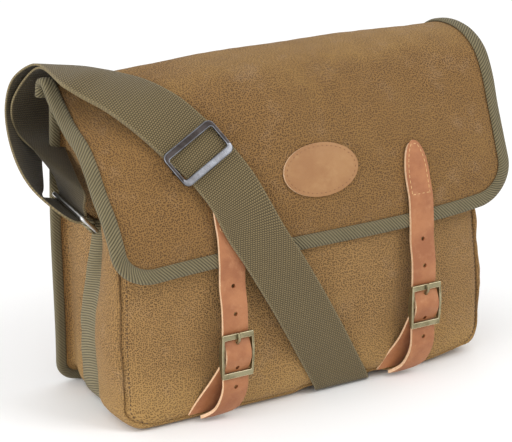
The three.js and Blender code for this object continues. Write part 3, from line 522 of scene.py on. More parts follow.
def add_sheet(name, points, across, along, *finishes):
    """A sheet through rows of points, with its weave laid across and along it."""
    rows, columns = points.shape[:2]
    deselect()
    bpy.ops.mesh.primitive_grid_add(x_subdivisions=columns - 1, y_subdivisions=rows - 1, size=1)
    sheet = bpy.context.object
    sheet.name = sheet.data.name = name
    sheet.data.vertices.foreach_set("co", (points * MM).ravel())
    weave = np.stack(np.broadcast_arrays(across, along), -1).reshape(-1, 2) * MM
    corners = np.empty(len(sheet.data.loops), int)
    sheet.data.loops.foreach_get("vertex_index", corners)
    sheet.data.uv_layers[0].data.foreach_set("uv", weave[corners].ravel())
    for finish in finishes:
        sheet.data.materials.append(finish)
    sheet.data.update()
    return sheet


def grid_weave(points):
    """Lengths across and along a grid of points: the mean of its rows and its middle column."""
    steps = np.linalg.norm(np.diff(points, axis=1), axis=-1).mean(axis=0)
    across = np.concatenate([[0], np.cumsum(steps)])
    along = lengths_along(points[:, points.shape[1] // 2])
    return across - across[-1] / 2, along[:, None]


def apply_modifier(piece, kind, **settings):
    choose(piece)
    modifier = piece.modifiers.new(kind.title(), kind)
    for name, value in settings.items():
        setattr(modifier, name, value)
    bpy.ops.object.modifier_apply(modifier=modifier.name)
    return piece


def thicken(piece, thickness, offset=-1, rim=0, back=0):
    """Makes a sheet solid; rim and back say how many finishes on those faces come after the first."""
    return apply_modifier(piece, "SOLIDIFY", thickness=thickness * MM, offset=offset,
                          use_even_offset=False, material_offset=back, material_offset_rim=rim)


def soften(piece, width, segments=2, angle=40, finish=-1):
    return apply_modifier(piece, "BEVEL", width=width * MM, segments=segments, limit_method="ANGLE",
                          angle_limit=math.radians(angle), material=finish)


def dress(piece, slot, *nodes):
    """Smooths a finished piece, hangs it on the root and hides the parts of model.glb that it stands for;
    slot is not used.
    """
    choose(piece)
    bpy.ops.object.shade_smooth_by_angle(angle=math.radians(42))
    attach(piece, "root")
    if nodes:
        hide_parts(*nodes)
    return piece


def edit(piece, by="VERT"):
    """Opens a piece with all of it selected."""
    choose(piece)
    bpy.ops.object.mode_set(mode="EDIT")
    bpy.ops.mesh.select_mode(type=by)
    bpy.ops.mesh.select_all(action="SELECT")


def close_tube(piece):
    """Joins the two long edges of a rolled sheet and fills its open ends."""
    edit(piece)
    bpy.ops.mesh.remove_doubles(threshold=1e-6)
    bpy.ops.mesh.fill_holes(sides=0)
    bpy.ops.mesh.normals_make_consistent(inside=False)
    bpy.ops.object.mode_set(mode="OBJECT")
    return piece


def add_tube(name, path, side, radius, sides, *finishes):
    """A round bar along a path; side is a direction that is square to the path all along it."""
    turn = np.linspace(0, 2 * math.pi, sides + 1)
    up = unit(np.cross(ways(path), side))
    ring = np.cos(turn)[None, :, None] * side + np.sin(turn)[None, :, None] * up[:, None, :]
    points = path[:, None, :] + ring * np.broadcast_to(radius, len(path))[:, None, None]
    piece = add_sheet(name, points, turn * 2, lengths_along(path)[:, None], *finishes)
    return close_tube(piece)


def join(*pieces):
    choose(*pieces)
    bpy.ops.object.join()
    return pieces[0]


def relief(points, normals, fade, reach, scale, seed):
    """Low dents in a sheet of cloth, always inwards so that nothing on it is covered."""
    start = Vector((seed, 0, 0))
    dents = [noise.fractal(Vector(point) / scale + start, 0.8, 2.1, 3) for point in points.reshape(-1, 3)]
    dents = np.array(dents).reshape(points.shape[:-1])
    dents = np.clip(0.5 + 0.9 * dents, 0, 1.4)
    return points - normals * (dents * reach * fade)[..., None]


def grid_normals(points):
    return unit(np.cross(np.gradient(points, axis=1), np.gradient(points, axis=0)))


# Body of the bag


def strap_lift(x, y):
    away = np.abs(x - DRAPE["bottom_x"] - DRAPE["slope"] * np.minimum(y, BACK_Y))
    return DRAPE["lift"] * (1 - smoothstep(away, *DRAPE["lift_edge"]))


def settle(points):
    """Lifts the bag's underside where it stands on the shoulder strap, and its lower corners."""
    points = np.array(points)
    share = np.clip(1 - points[..., 2] / DRAPE["lift_top"], 0, 1)
    points[..., 2] += strap_lift(points[..., 0], points[..., 1]) * share
    near_ground = np.clip(1 - points[..., 2] / CORNER_RISE_TOP, 0, 1)
    for way, side in ((1, "right"), (-1, "left")):
        rise, start, full = CORNER_RISE[side]
        points[..., 2] += rise * smoothstep(way * points[..., 0], start, full) * near_ground
    return points


def gusset_row(station, lines, extra=0.0, backward=0.0):
    """A crossing of the gusset at a station of its run: leg -1 left, 1 right, 0 along the bottom."""
    leg, drop, turn, bottom_x = station
    y, top_y, bottom_y, side, top, bottom = lines.T
    front = (BACK_Y - y) / (BACK_Y - FRONT_Y)
    fold = 1 - smoothstep(drop, *FOLD_DROP) if turn == 0 else 0
    rounded = smoothstep(turn, 0, 1)
    side = side - np.maximum(side, 0) * front * BULGE_TAPER * smoothstep(drop, *TAPER_DROP)
    out = lerp(lerp(side, bottom, rounded), top, fold) + extra
    y = lerp(lerp(y, bottom_y, rounded), top_y, fold) + backward
    if leg == 0:
        x, z = np.full(len(y), bottom_x), BODY_FLOOR - out
    else:
        angle = math.radians(90 * turn)
        level = lerp(GUSSET_TOP["back"], GUSSET_TOP["front"], front)
        level = lerp(level, BODY_FLOOR + CORNER_RADIUS, drop)
        x = leg * (BODY_HALF_WIDTH - CORNER_RADIUS + math.cos(angle) * (CORNER_RADIUS + out))
        z = level - math.sin(angle) * (CORNER_RADIUS + out)
    x = x - leg * BACK_DRAW * (1 - smoothstep(z, *BACK_DRAW_Z)) * (1 - front)
    if leg == 1:
        x = x - (RIGHT_DRAW["foot"] + RIGHT_DRAW["top"] * smoothstep(z, *RIGHT_DRAW_Z)) * front
    y = y - BACK_LEAN * z * (1 - front) + FRONT_LEAN * smoothstep(z, *FRONT_LEAN_Z) * front
    return np.stack([x, y, z], -1)


SIDE_STEPS, CORNER_STEPS, BOTTOM_STEPS = 54, 10, 90
SIDE_STATIONS = [(i / SIDE_STEPS, 0) for i in range(SIDE_STEPS + 1)]
SIDE_STATIONS += [(1, i / CORNER_STEPS) for i in range(1, CORNER_STEPS + 1)]
BOTTOM_HALF = BODY_HALF_WIDTH - CORNER_RADIUS
GUSSET_STATIONS = [(-1, drop, turn, 0) for drop, turn in SIDE_STATIONS]
BOTTOM_PLACES = [lerp(-BOTTOM_HALF, BOTTOM_HALF, i / BOTTOM_STEPS) for i in range(1, BOTTOM_STEPS)]
GUSSET_STATIONS += [(0, 1, 1, x) for x in BOTTOM_PLACES]
GUSSET_STATIONS += [(1, drop, turn, 0) for drop, turn in reversed(SIDE_STATIONS)]
LINE_PARTS = 5
GROUND = 0.2
FINE_LINES = spline(GUSSET_LINES, LINE_PARTS)


def gusset_grid(lines, extra=0.0, backward=0.0):
    return settle([gusset_row(station, lines, extra, backward) for station in GUSSET_STATIONS])


def make_gusset():
    points = gusset_grid(FINE_LINES)
    rim = np.minimum(np.arange(len(FINE_LINES)), np.arange(len(FINE_LINES))[::-1])
    fade = smoothstep(rim, 1, 8)[None, :] * smoothstep(points[..., 2], 8, 50)
    points = relief(points, grid_normals(points), fade, **DENTS["gusset"])
    points[..., 2] = np.maximum(points[..., 2], GROUND)
    piece = add_sheet("gusset_cloth", points, *grid_weave(points), BODY_CLOTH)
    thicken(piece, CLOTH, offset=1)
    return dress(soften(piece, EDGE["cloth"]), "cloth", "gusset"), points


def make_gusset_webbing(gusset):
    """The strip lies on the outer face of the gusset."""
    low, high = (line * LINE_PARTS for line in WEBBING_LINES)
    cut = SIDE_STEPS // 3
    points = (gusset - grid_normals(gusset) * (GAP + WEBBING))[cut:-cut, low : high + 1]
    points[..., 2] = np.maximum(points[..., 2], GROUND)
    piece = add_sheet("gusset_webbing_strip", points, *grid_weave(points), GUSSET_WEB)
    thicken(piece, WEBBING, offset=1)
    return dress(soften(piece, EDGE["webbing"]), "webbing", "gusset_webbing")


def panel_level(station, rim_z, foot_z, u):
    turn = station[1]
    level = lerp(BODY_FLOOR + CORNER_RADIUS, foot_z, turn) if turn > 0 else rim_z
    return lerp(level, rim_z, u ** PANEL["rim_power"])


PANEL_COLUMNS = np.linspace(-1, 1, 97)


def front_panel_rows():
    u = PANEL_COLUMNS
    seam = GUSSET_LINES[-2:-1]
    foot = gusset_row((0, 1, 1, 0), seam)[0]
    rows = []
    for station in SIDE_STATIONS:
        left, right = (gusset_row((leg, *station, 0), seam)[0] for leg in (-1, 1))
        rim = lerp(left, right, (0.5 + 0.5 * u)[:, None])
        z = panel_level(station, rim[:, 2], foot[2], u)
        z = z + PANEL["crown"] * (1 - u * u) * (1 - station[0]) ** 2
        forward = (foot[1] - FRONT_Y) * (1 - smoothstep(z, foot[2], PANEL["foot_top"]))
        y = np.maximum(rim[:, 1] - PANEL["forward"], FRONT_Y) + forward
        y = lerp(y, rim[:, 1], u ** PANEL["rim_power"])
        height = np.clip((z - PANEL["bulge_foot"]) / PANEL["bulge_height"], 0, 1)
        bulge = PANEL["bulge"] * (1 - u * u) ** PANEL["bulge_round"]
        bulge = bulge * np.sin(math.pi * height ** PANEL["bulge_sag"])
        roll = PANEL["roll"] * smoothstep(np.maximum(np.abs(u), station[1]), PANEL["roll_from"], 1)
        rows.append(np.stack([rim[:, 0], y - PANEL["gap"] - CLOTH - bulge + roll, z], -1))
    return settle(rows)


def make_front_panel():
    points = front_panel_rows()
    fade = smoothstep(1 - np.abs(PANEL_COLUMNS), 0.0, 0.08)[None, :]
    points = relief(points, grid_normals(points), fade, **DENTS["front"])
    piece = add_sheet("front_panel_cloth", points, *grid_weave(points), BODY_CLOTH)
    thicken(piece, CLOTH, offset=1)
    return dress(soften(piece, EDGE["front"]), "cloth", "front_panel"), points


def make_back_panel():
    u = -PANEL_COLUMNS
    backward = 2 * CLOTH + GAP
    foot = gusset_row((0, 1, 1, 0), FLANGE_TIP, -BACK_INSET, backward)[0]
    rows = []
    for station in SIDE_STATIONS:
        rim = gusset_row((1, *station, 0), FLANGE_TIP, -BACK_INSET, backward)[0]
        z = panel_level(station, rim[2], foot[2], u)
        rows.append(np.stack([u * rim[0], np.full(len(u), rim[1]), z], -1))
    points = settle(rows)
    fade = smoothstep(1 - np.abs(u), 0.03, 0.15)[None, :] * smoothstep(points[..., 2], 14, 60)
    points = relief(points, grid_normals(points), fade, **DENTS["back"])
    piece = add_sheet("back_panel_cloth", points, *grid_weave(points), BODY_CLOTH)
    thicken(piece, CLOTH, offset=1)
    return dress(soften(piece, EDGE["cloth"]), "cloth", "back_panel")


def tape_section(depth, high, low):
    """Outer face of a folded tape: depth in from the edge and height off the middle of the cloth."""
    start, share, tip, middle = TAPE_FOLD.values()
    keys = [(inset * depth, height * high) for inset, height in TAPE_FACE]
    keys += [(start, share * high), (tip, middle), (start, -share * low)]
    keys += [(inset * depth, -height * low) for inset, height in reversed(TAPE_FACE)]
    return evenly(spline(keys, 6), 22)


def add_tape(name, points, section, along, finish, offset=-1):
    across = lengths_along(section)
    piece = add_sheet(name, points, across - across[-1] / 2, along[:, None], finish)
    return soften(thicken(piece, TAPE, offset), EDGE["tape"])


def make_back_binding():
    section = tape_section(*BACK_TAPE_SIZE)
    lines = [gusset_grid(FLANGE_TIP, -depth, BINDING_MIDDLE + height)[:, 0] for depth, height in section]
    points = np.stack(lines, 1)
    along = lengths_along(points[:, len(section) // 2])
    piece = add_tape("back_binding_tape", points, section, along, BACK_TAPE, offset=1)
    return dress(piece, "webbing", "back_binding")


# Flap

FLAP_SAMPLES = 601
FLAP_LINES = [evenly(spline(FLAP_PROFILE[:, 2 * k : 2 * k + 2], 30), FLAP_SAMPLES) for k in range(3)]
FLAP_SHARES = np.linspace(0, 1, FLAP_SAMPLES)
FLAP_LENGTH = lengths_along(FLAP_LINES[1])[-1]
SHARE_STEP = 0.004
FLAP_COLUMNS = 131
FLAP_ROWS = {"straight": 96, "corner": 14}
RIM_ROWS = {"straight": 80, "corner": 18}
RIM_BOTTOM = 90


def flap_point(x, t):
    """A point of the flap's outer face: t goes from the back seam to the lower edge."""
    x, t = np.broadcast_arrays(np.asarray(x, float), np.asarray(t, float))
    left, middle, right = (
        np.stack([np.interp(t, FLAP_SHARES, line[:, k]) for k in range(2)], -1) for line in FLAP_LINES
    )
    x = x[..., None]
    end = np.where(x < 0, left, right)
    return np.concatenate([x, lerp(middle, end, np.abs(x / FLAP_HALF_WIDTH) ** 3)], -1)


def flap_normal(x, t):
    ahead = flap_point(x, np.minimum(t + SHARE_STEP, 1)) - flap_point(x, np.maximum(t - SHARE_STEP, 0))
    sideways = flap_point(np.asarray(x) + 1.0, t) - flap_point(np.asarray(x) - 1.0, t)
    return unit(np.cross(ahead, sideways))


def on_flap(x, t, height):
    return flap_point(x, t) + flap_normal(x, t) * np.asarray(height, float)[..., None]


def flap_shape(straight, corner):
    """Rows of the flap, as shares of its length and half widths, with its lower corners rounded."""
    round_from = 1 - FLAP_CORNER_RADIUS / FLAP_LENGTH
    turn = np.radians(90 * np.arange(1, corner + 1) / corner)
    t = np.concatenate([np.linspace(0, round_from, straight + 1), lerp(round_from, 1, np.sin(turn))])
    half = np.concatenate([
        np.full(straight + 1, FLAP_HALF_WIDTH), FLAP_HALF_WIDTH - FLAP_CORNER_RADIUS * (1 - np.cos(turn))
    ])
    return t, half


def make_flap():
    t, half = flap_shape(**FLAP_ROWS)
    column = np.linspace(1, -1, FLAP_COLUMNS)
    x = column[None, :] * half[:, None]
    points, normals = flap_point(x, t[:, None]), flap_normal(x, t[:, None])
    inset = smoothstep(1 - np.abs(column), 0.02, 0.12)[None, :] * smoothstep(1 - t, 0.0, 0.12)[:, None]
    points = relief(points, normals, inset, **DENTS["flap"])
    piece = add_sheet("flap_cloth_sheet", points, x, (t * FLAP_LENGTH)[:, None], FLAP_CLOTH)
    thicken(piece, CLOTH)
    return dress(soften(piece, EDGE["cloth"]), "cloth", "flap")


def flap_rim():
    """Middle of the cloth, normal and inward way round the flap's free edge, from right to left."""
    t, half = flap_shape(**RIM_ROWS)
    bottom = np.linspace(half[-1], -half[-1], RIM_BOTTOM)[1:-1]
    x = np.concatenate([half, bottom, -half[::-1]])
    share = np.concatenate([t, np.full(len(bottom), t[-1]), t[::-1]])
    normal = flap_normal(x, share)
    middle = flap_point(x, share) - normal * (CLOTH / 2)
    inward = unit(np.cross(ways(middle), normal))
    return middle, normal, inward


def make_flap_binding():
    middle, normal, inward = (rows[:, None] for rows in flap_rim())
    section = tape_section(*FLAP_TAPE_SIZE)
    points = middle + inward * section[None, :, :1] + normal * section[None, :, 1:]
    piece = add_tape("flap_binding_tape", points, section, lengths_along(middle[:, 0]), FLAP_TAPE)
    return dress(piece, "webbing", "flap_binding")


def make_patch():
    u, v = np.meshgrid(np.linspace(1, -1, PATCH["grid"]), np.linspace(-1, 1, PATCH["grid"]))
    x = PATCH["width"] / 2 * u * np.sqrt(1 - v * v / 2)
    down = PATCH["height"] / 2 * v * np.sqrt(1 - u * u / 2)
    height = np.full(x.shape, PATCH["gap"] + PATCH["thickness"])
    points = on_flap(x, PATCH["centre"] + down / FLAP_LENGTH, height)
    piece = add_sheet("oval_patch_leather", points, x, down, PATCH_LEATHER, RAW_EDGE)
    thicken(piece, PATCH["thickness"], rim=1)
    return dress(soften(piece, EDGE["patch"]), "patch_leather", "oval_patch")


# Leather straps and buckles


def band_normals(line):
    way = np.gradient(line, axis=0)
    way[:, 0] = 0
    way = unit(way)
    return np.stack([np.zeros(len(way)), way[:, 2], -way[:, 1]], -1)


def flap_share_at(x, z):
    shares = np.linspace(0.3, 1, 701)
    return shares[np.argmin(np.abs(flap_point(x, shares)[:, 2] - z))]


def closing_strap_line(x, axle_z):
    t = np.linspace(flap_share_at(x, CLOSING["top_z"]), 1, 10)
    height = CLOSING["gap"] + CLOSING["over_tape"] * smoothstep(t, *CLOSING["tape_shares"])
    on = on_flap(np.full(len(t), x), t, height)
    fall = [(x, y, z + axle_z) for y, z in STRAP_FALL] + [(x + dx, y, z) for dx, y, z in STRAP_TAIL]
    return evenly(spline(np.concatenate([on, fall]), 12), 220)


def closing_strap_half(line):
    run = lengths_along(line)
    point = np.clip(run / CLOSING["point"], 0, 1)
    tail = np.clip((run[-1] - run) / CLOSING["tail"], 0, 1)
    shape = np.minimum(np.sqrt(1 - (1 - point) ** 2), np.sqrt(1 - (1 - tail) ** 2))
    return LEATHER_WIDTH / 2 * np.maximum(shape, CLOSING["least"])


def add_bore(place, radius, depth):
    deselect()
    bpy.ops.mesh.primitive_cylinder_add(vertices=20, radius=radius * MM, depth=depth * MM,
                                        location=Vector(place) * MM, rotation=(math.radians(90), 0, 0))
    return bpy.context.object


def cut_out(piece, *cutters):
    cutter = join(*cutters)
    apply_modifier(piece, "BOOLEAN", operation="DIFFERENCE", object=cutter, solver="EXACT")
    bpy.data.objects.remove(cutter, do_unlink=True)
    return piece


ACROSS_X = np.array((1.0, 0, 0))


def make_closing_strap(side, x, axle_z):
    line = closing_strap_line(x, axle_z)
    half, normals = closing_strap_half(line), band_normals(line)
    column = np.linspace(1, -1, 15)
    crown = CLOSING["crown"] * (1 - column**2)
    face = line[:, None] + column[None, :, None] * half[:, None, None] * ACROSS_X
    face = face + normals[:, None] * (LEATHER - CLOSING["crown"] + crown)[None, :, None]
    run = lengths_along(line)
    piece = add_sheet(side + "_flap_strap_leather", face, column[None, :] * half[:, None], run[:, None],
                      STRAP_LEATHER, RAW_EDGE)
    thicken(piece, LEATHER, rim=1)
    places = [line[np.argmin(np.abs(line[:, 2] - axle_z - height))] for height in HOLE_HEIGHTS]
    cut_out(piece, *[add_bore(place, HOLE_RADIUS, CLOSING["bore"]) for place in places])
    dress(soften(piece, EDGE["strap"]), "leather", side + "_flap_strap")
    return line, half, normals


def make_buckle_strap(side, x, axle_z):
    wrap = BUCKLE["axle"] + GAP + BUCKLE_LEATHER / 2
    rise = [(x + dx, y, z) for dx, y, z in BUCKLE_STRAP_RISE]
    rise += [(x, BUCKLE_Y + wrap + GAP, axle_z - BUCKLE_STRAP["below"])]
    turn = np.radians(np.linspace(0, 180, 13))
    bend = [(x, BUCKLE_Y + wrap * math.cos(angle), axle_z + wrap * math.sin(angle)) for angle in turn]
    line = np.concatenate([spline(rise, 14), bend, [(x, BUCKLE_Y - wrap, axle_z - BUCKLE_STRAP["end"])]])
    across = np.linspace(1, -1, 9) * (LEATHER_WIDTH / 2 - BUCKLE_STRAP["inset"])
    face = line[:, None] + across[None, :, None] * ACROSS_X
    face = face + band_normals(line)[:, None] * BUCKLE_LEATHER / 2
    piece = add_sheet(side + "_buckle_strap_leather", face, across, lengths_along(line)[:, None],
                      STRAP_LEATHER, RAW_EDGE)
    thicken(piece, BUCKLE_LEATHER, rim=1)
    hole = (x, BUCKLE_Y - wrap, axle_z + BUCKLE_STRAP["hole_up"])
    cut_out(piece, add_bore(hole, BUCKLE_STRAP["hole_radius"], BUCKLE_STRAP["bore"]))
    return dress(soften(piece, EDGE["buckle_strap"]), "leather", side + "_buckle_strap")


def points_of(piece):
    points = np.empty(3 * len(piece.data.vertices))
    piece.data.vertices.foreach_get("co", points)
    return points.reshape(-1, 3)


def place_by_code(piece, change):
    """Moves the points of a piece by a rule, in millimetres."""
    points = change(points_of(piece) / MM)
    piece.data.vertices.foreach_set("co", (points * MM).ravel())
    piece.data.update()


def add_frame(name, size, corner, *finishes):
    """A flat rectangular frame that faces forwards, with its own bar and side widths."""
    width, height, bar, side = (size[key] for key in ("width", "height", "bar", "side"))
    deselect()
    bpy.ops.mesh.primitive_plane_add(size=1, rotation=(math.radians(90), 0, 0))
    piece = bpy.context.object
    piece.name = piece.data.name = name
    piece.scale = (width * MM, height * MM, 1)
    bpy.ops.object.transform_apply(location=True, rotation=True, scale=True)
    for finish in finishes:
        piece.data.materials.append(finish)
    edit(piece)
    if corner:
        bpy.ops.mesh.bevel(offset=corner * MM, segments=6, affect="VERTICES")
        bpy.ops.mesh.select_all(action="SELECT")
    bpy.ops.mesh.select_mode(type="FACE")
    bpy.ops.mesh.inset(thickness=side * MM, depth=0)
    bpy.ops.transform.resize(value=(1, 1, (height - 2 * bar) / (height - 2 * side)))
    bpy.ops.mesh.delete(type="FACE")
    bpy.ops.object.mode_set(mode="OBJECT")
    return piece


def make_buckle(side, x, axle_z):
    piece = add_frame(side + "_buckle_brass", BUCKLE, 0, BRASS, BRIGHT_BRASS)
    edit(piece)
    bpy.ops.mesh.subdivide(number_cuts=7)
    bpy.ops.object.mode_set(mode="OBJECT")
    thicken(piece, BUCKLE["depth"])

    def bow(points):
        arch = 1 - (points[:, 2] / (BUCKLE["height"] / 2)) ** 2
        on_side = np.abs(points[:, 0]) > BUCKLE["width"] / 2 - BUCKLE["side"] - 0.3
        back = points[:, 1] > 0.5
        points[:, 0] += np.sign(points[:, 0]) * BUCKLE["bow_out"] * arch * on_side
        points[:, 1] += np.where(back, BUCKLE["bow_back"], BUCKLE["bow_front"]) * arch * on_side
        return points + (x, BUCKLE["front"], axle_z)

    place_by_code(piece, bow)
    soften(piece, EDGE["buckle"], segments=3, angle=50, finish=1)
    deselect()
    bpy.ops.mesh.primitive_cylinder_add(
        vertices=24, radius=BUCKLE["axle"] * MM, depth=(BUCKLE["width"] - BUCKLE["side"]) * MM,
        location=Vector((x, BUCKLE_Y, axle_z)) * MM, rotation=(0, math.radians(90), 0)
    )
    axle = bpy.context.object
    bpy.ops.object.transform_apply(location=True, rotation=True, scale=True)
    axle.data.materials.append(BRASS)
    soften(axle, EDGE["axle"])
    return dress(join(piece, axle), "brass", side + "_buckle")


def make_prong(side, x, axle_z):
    path = spline([(x, y, z + axle_z) for y, z in PRONG_PATH], 6)
    start = PRONG["taper_from"]
    taper = np.maximum(np.linspace(0, 1, len(path)) - start, 0) / (1 - start) * PRONG["taper"]
    radius = PRONG["radius"] * np.sqrt(np.clip(1 - taper, PRONG["least"], 1))
    piece = add_tube(side + "_prong_brass", path, ACROSS_X, radius, 14, BRASS)
    return dress(piece, "brass", side + "_prong")


# Shoulder strap, slider and rings


def layer_keys(layer):
    """Left edge, middle and right edge of one layer of the strap on the flap."""
    rows = [row for row in STRAP_ON_FLAP if row[layer] is not None]
    flat = np.array([(row[0], row[1] * FLAP_LENGTH) for row in rows])
    way = ways(flat)
    heights = np.array([row[layer] for row in rows], float)
    lifts = np.array([row[4] for row in rows], float)
    keys = []
    for end in (-1, 0, 1):
        x = flat[:, 0] + way[:, 1] * SHOULDER_WIDTH / 2 * end
        down = flat[:, 1] - way[:, 0] * SHOULDER_WIDTH / 2 * end
        share = np.maximum(down / FLAP_LENGTH, FIRST_SHARE)
        keys.append(on_flap(x, share, heights + lifts * (1 - end) / 2))
    return np.stack(keys, 1)


def drape_keys():
    line = np.array(STRAP_DRAPE, float)
    run = lengths_along(line)
    x = DRAPE["bottom_x"] + DRAPE["slope"] * (run - run[DRAPE_MIDDLE])
    half = SHOULDER_WIDTH / 2 * math.hypot(1, DRAPE["slope"])
    return np.stack([np.stack([x + end * half, line[:, 0], line[:, 1]], -1) for end in (-1, 0, 1)], 1)


def loop_keys(rows):
    rows = np.array(rows, float)
    width = unit(rows[:, 3:])
    return np.stack([rows[:, :3] + end * SHOULDER_WIDTH / 2 * width for end in (-1, 0, 1)], 1)


def widen(keys, columns):
    """Rows of three keys become rows of more points, on the curve through the three."""
    w = np.linspace(-1, 1, columns)[None, :, None]
    left, middle, right = (keys[:, k : k + 1] for k in range(3))
    return left * (w * w - w) / 2 + middle * (1 - w * w) + right * (w * w + w) / 2


def make_shoulder_strap():
    """One strip; its lower layer is turned over, so that the back face, painted near-black as shade, faces
    into the left loop.
    """
    columns = 11
    keys = np.concatenate([
        layer_keys(LOWER_LAYER)[::-1, ::-1], loop_keys(LEFT_LOOP), layer_keys(UPPER_LAYER), drape_keys(),
        loop_keys(RIGHT_LOOP),
    ])
    points = widen(spline(keys, 8), columns)
    along = lengths_along(points[:, columns // 2])
    across = np.linspace(-SHOULDER_WIDTH / 2, SHOULDER_WIDTH / 2, columns)
    piece = add_sheet("shoulder_strap_webbing", points, across, along[:, None], STRAP_BACK_SHADE, STRAP_WEB)
    thicken(piece, WEBBING, offset=0, rim=1, back=1)
    dress(soften(piece, EDGE["webbing"]), "webbing", "shoulder_strap")
    return piece, along[-1]


def make_slider():
    keys = layer_keys(UPPER_LAYER)
    before, here, after = (keys[SLIDER["place"] + step] for step in (-1, 0, 1))
    width = unit(here[2] - here[0])
    normal = unit(np.cross(unit(after[1] - before[1]), width))
    piece = add_frame("slider_gunmetal", SLIDER, SLIDER["corner"], GUNMETAL, GUNMETAL_HIGHLIGHT)
    # Faces low on the frame, and the bevelled edges, take the paler gunmetal as painted highlight.
    for face in piece.data.polygons:
        face.material_index = int(face.center.z < SLIDER["highlight_below"] * SLIDER["height"] * MM)
    thicken(piece, SLIDER["depth"])
    soften(piece, EDGE["slider"], segments=3, angle=50, finish=1)
    parts = [piece]
    span = SLIDER["width"] - SLIDER["side"]
    leg = (SLIDER_LEG["wide"], SLIDER_LEG["deep"], SLIDER_LEG["high"])
    bars = [((span, SLIDER_BAR["thick"], SLIDER_BAR["high"]), (0, SLIDER_BAR["back"], 0))]
    bars += [(leg, (end * span / 2, SLIDER_LEG["back"], 0)) for end in (1, -1)]
    for size, place in bars:
        deselect()
        bpy.ops.mesh.primitive_cube_add(size=1, location=Vector(place) * MM, scale=Vector(size) * MM)
        bar = bpy.context.object
        bpy.ops.object.transform_apply(location=True, rotation=True, scale=True)
        bar.data.materials.append(GUNMETAL)
        parts.append(soften(bar, EDGE["slider_bar"]))
    piece = join(*parts)
    axes = np.stack([width, -normal, np.cross(normal, width)], 1)
    axes = np.array(Matrix.Rotation(math.radians(SLIDER["turn"]), 3, Vector(normal))) @ axes
    middle = here[1] + normal * SLIDER["lift"] + ACROSS_X * SLIDER["shift"]

    def lay(points):
        return middle + (points - (0, SLIDER["depth"], 0)) @ axes.T

    place_by_code(piece, lay)
    return dress(piece, "dark_steel", "slider")


def make_ring(name, side):
    wide, high = RING["width"] / 2 - RING["bar"] / 2, RING["height"] - RING["bar"]
    bend = RING["corner"] - RING["bar"] / 2
    path = []
    for y, z, start in [(wide, 0, 90), (-wide, 0, 180), (-wide, -high, 270), (wide, -high, 360)]:
        for angle in np.radians(np.linspace(start - 90, start, 9)):
            path.append((y - math.copysign(bend, y) + bend * math.cos(angle),
                         z - (bend if z == 0 else -bend) + bend * math.sin(angle)))
    path = np.array(path + path[:1])
    flat = np.stack([np.zeros(len(path)), path[:, 0], path[:, 1]], -1)
    turn = Matrix.Rotation(math.atan(RING["slope"]) if side < 0 else 0, 3, "X")
    turn = np.array(turn @ Matrix.Rotation(math.radians(side * RING["tilt"]), 3, "Y"))
    centre = np.array((side * RING["x"], RING["y"], RING["z"]))
    around = np.linspace(0, 2 * math.pi, 15)
    out = unit(np.cross(ways(np.concatenate([flat[-2:-1], flat, flat[1:2]]))[1:-1], ACROSS_X))
    bar = RING["bar"] / 2
    points = flat[:, None] + np.cos(around)[None, :, None] * bar * ACROSS_X
    points = points + np.sin(around)[None, :, None] * bar * out[:, None]
    points = points @ turn.T + centre
    piece = add_sheet(name + "_steel", points, around, np.arange(len(path))[:, None], STEEL)
    return dress(close_tube(piece), "steel", name)


def make_ring_tab(name, side):
    keys = []
    for x, z, half in RING_TAB:
        y = np.array((-half, 0, half)) - TAB_FORWARD
        slope = RING["slope"] if side < 0 else 0
        keys.append(np.stack([np.full(3, side * x), RING["y"] + y, z + slope * y], -1))
    points = widen(spline(np.array(keys), 8), 9)
    piece = add_sheet(name + "_webbing", points, *grid_weave(points), GUSSET_WEB)
    thicken(piece, WEBBING, offset=0)
    return dress(soften(piece, EDGE["tab"]), "webbing", name)


# Stitches


def model_stitch(length, thick):
    """One stitch, modelled once: a thread that dips into the work at both ends."""
    deselect()
    bpy.ops.mesh.primitive_cylinder_add(vertices=6, radius=thick / 2 * MM, depth=length * 0.6 * MM,
                                        rotation=(0, math.radians(90), 0))
    stitch = bpy.context.object
    bpy.ops.object.transform_apply(location=True, rotation=True, scale=True)
    for end in (-1, 1):
        edit(stitch, by="FACE")
        bpy.ops.mesh.select_all(action="DESELECT")
        bpy.ops.object.mode_set(mode="OBJECT")
        for face in stitch.data.polygons:
            face.select = face.normal.x * end > 0.9
        bpy.ops.object.mode_set(mode="EDIT")
        bpy.ops.mesh.extrude_region_move(
            TRANSFORM_OT_translate={"value": (end * 0.2 * length * MM, 0, -0.3 * thick * MM)}
        )
        bpy.ops.transform.resize(value=(1, 0.5, 0.5))
        bpy.ops.object.mode_set(mode="OBJECT")
    points = points_of(stitch)
    faces = [tuple(face.vertices) for face in stitch.data.polygons]
    bpy.data.objects.remove(stitch, do_unlink=True)
    return points, faces


def sew(name, seams, finish, slot, length, thick, pitch):
    """Seams as one piece; each is a line of points on the work and the normals there."""
    model, model_faces = model_stitch(length, thick)
    points, faces = [], []
    for line, normals in seams:
        run = lengths_along(line)
        at = np.arange(pitch / 2, run[-1], pitch)
        place, up, way = (pick(at, run, rows) for rows in (line, normals, ways(line)))
        up = unit(up)
        way = unit(way - up * (way * up).sum(-1, keepdims=True))
        beside = np.cross(up, way)
        for k in range(len(at)):
            base = len(points) * len(model)
            points.append(place[k] * MM + model @ np.stack([way[k], beside[k], up[k]]))
            faces += [tuple(base + index for index in face) for face in model_faces]
    mesh = bpy.data.meshes.new(name)
    mesh.from_pydata(np.concatenate(points).tolist(), [], faces)
    mesh.materials.append(finish)
    piece = bpy.data.objects.new(name, mesh)
    bpy.context.scene.collection.objects.link(piece)
    return dress(piece, slot)


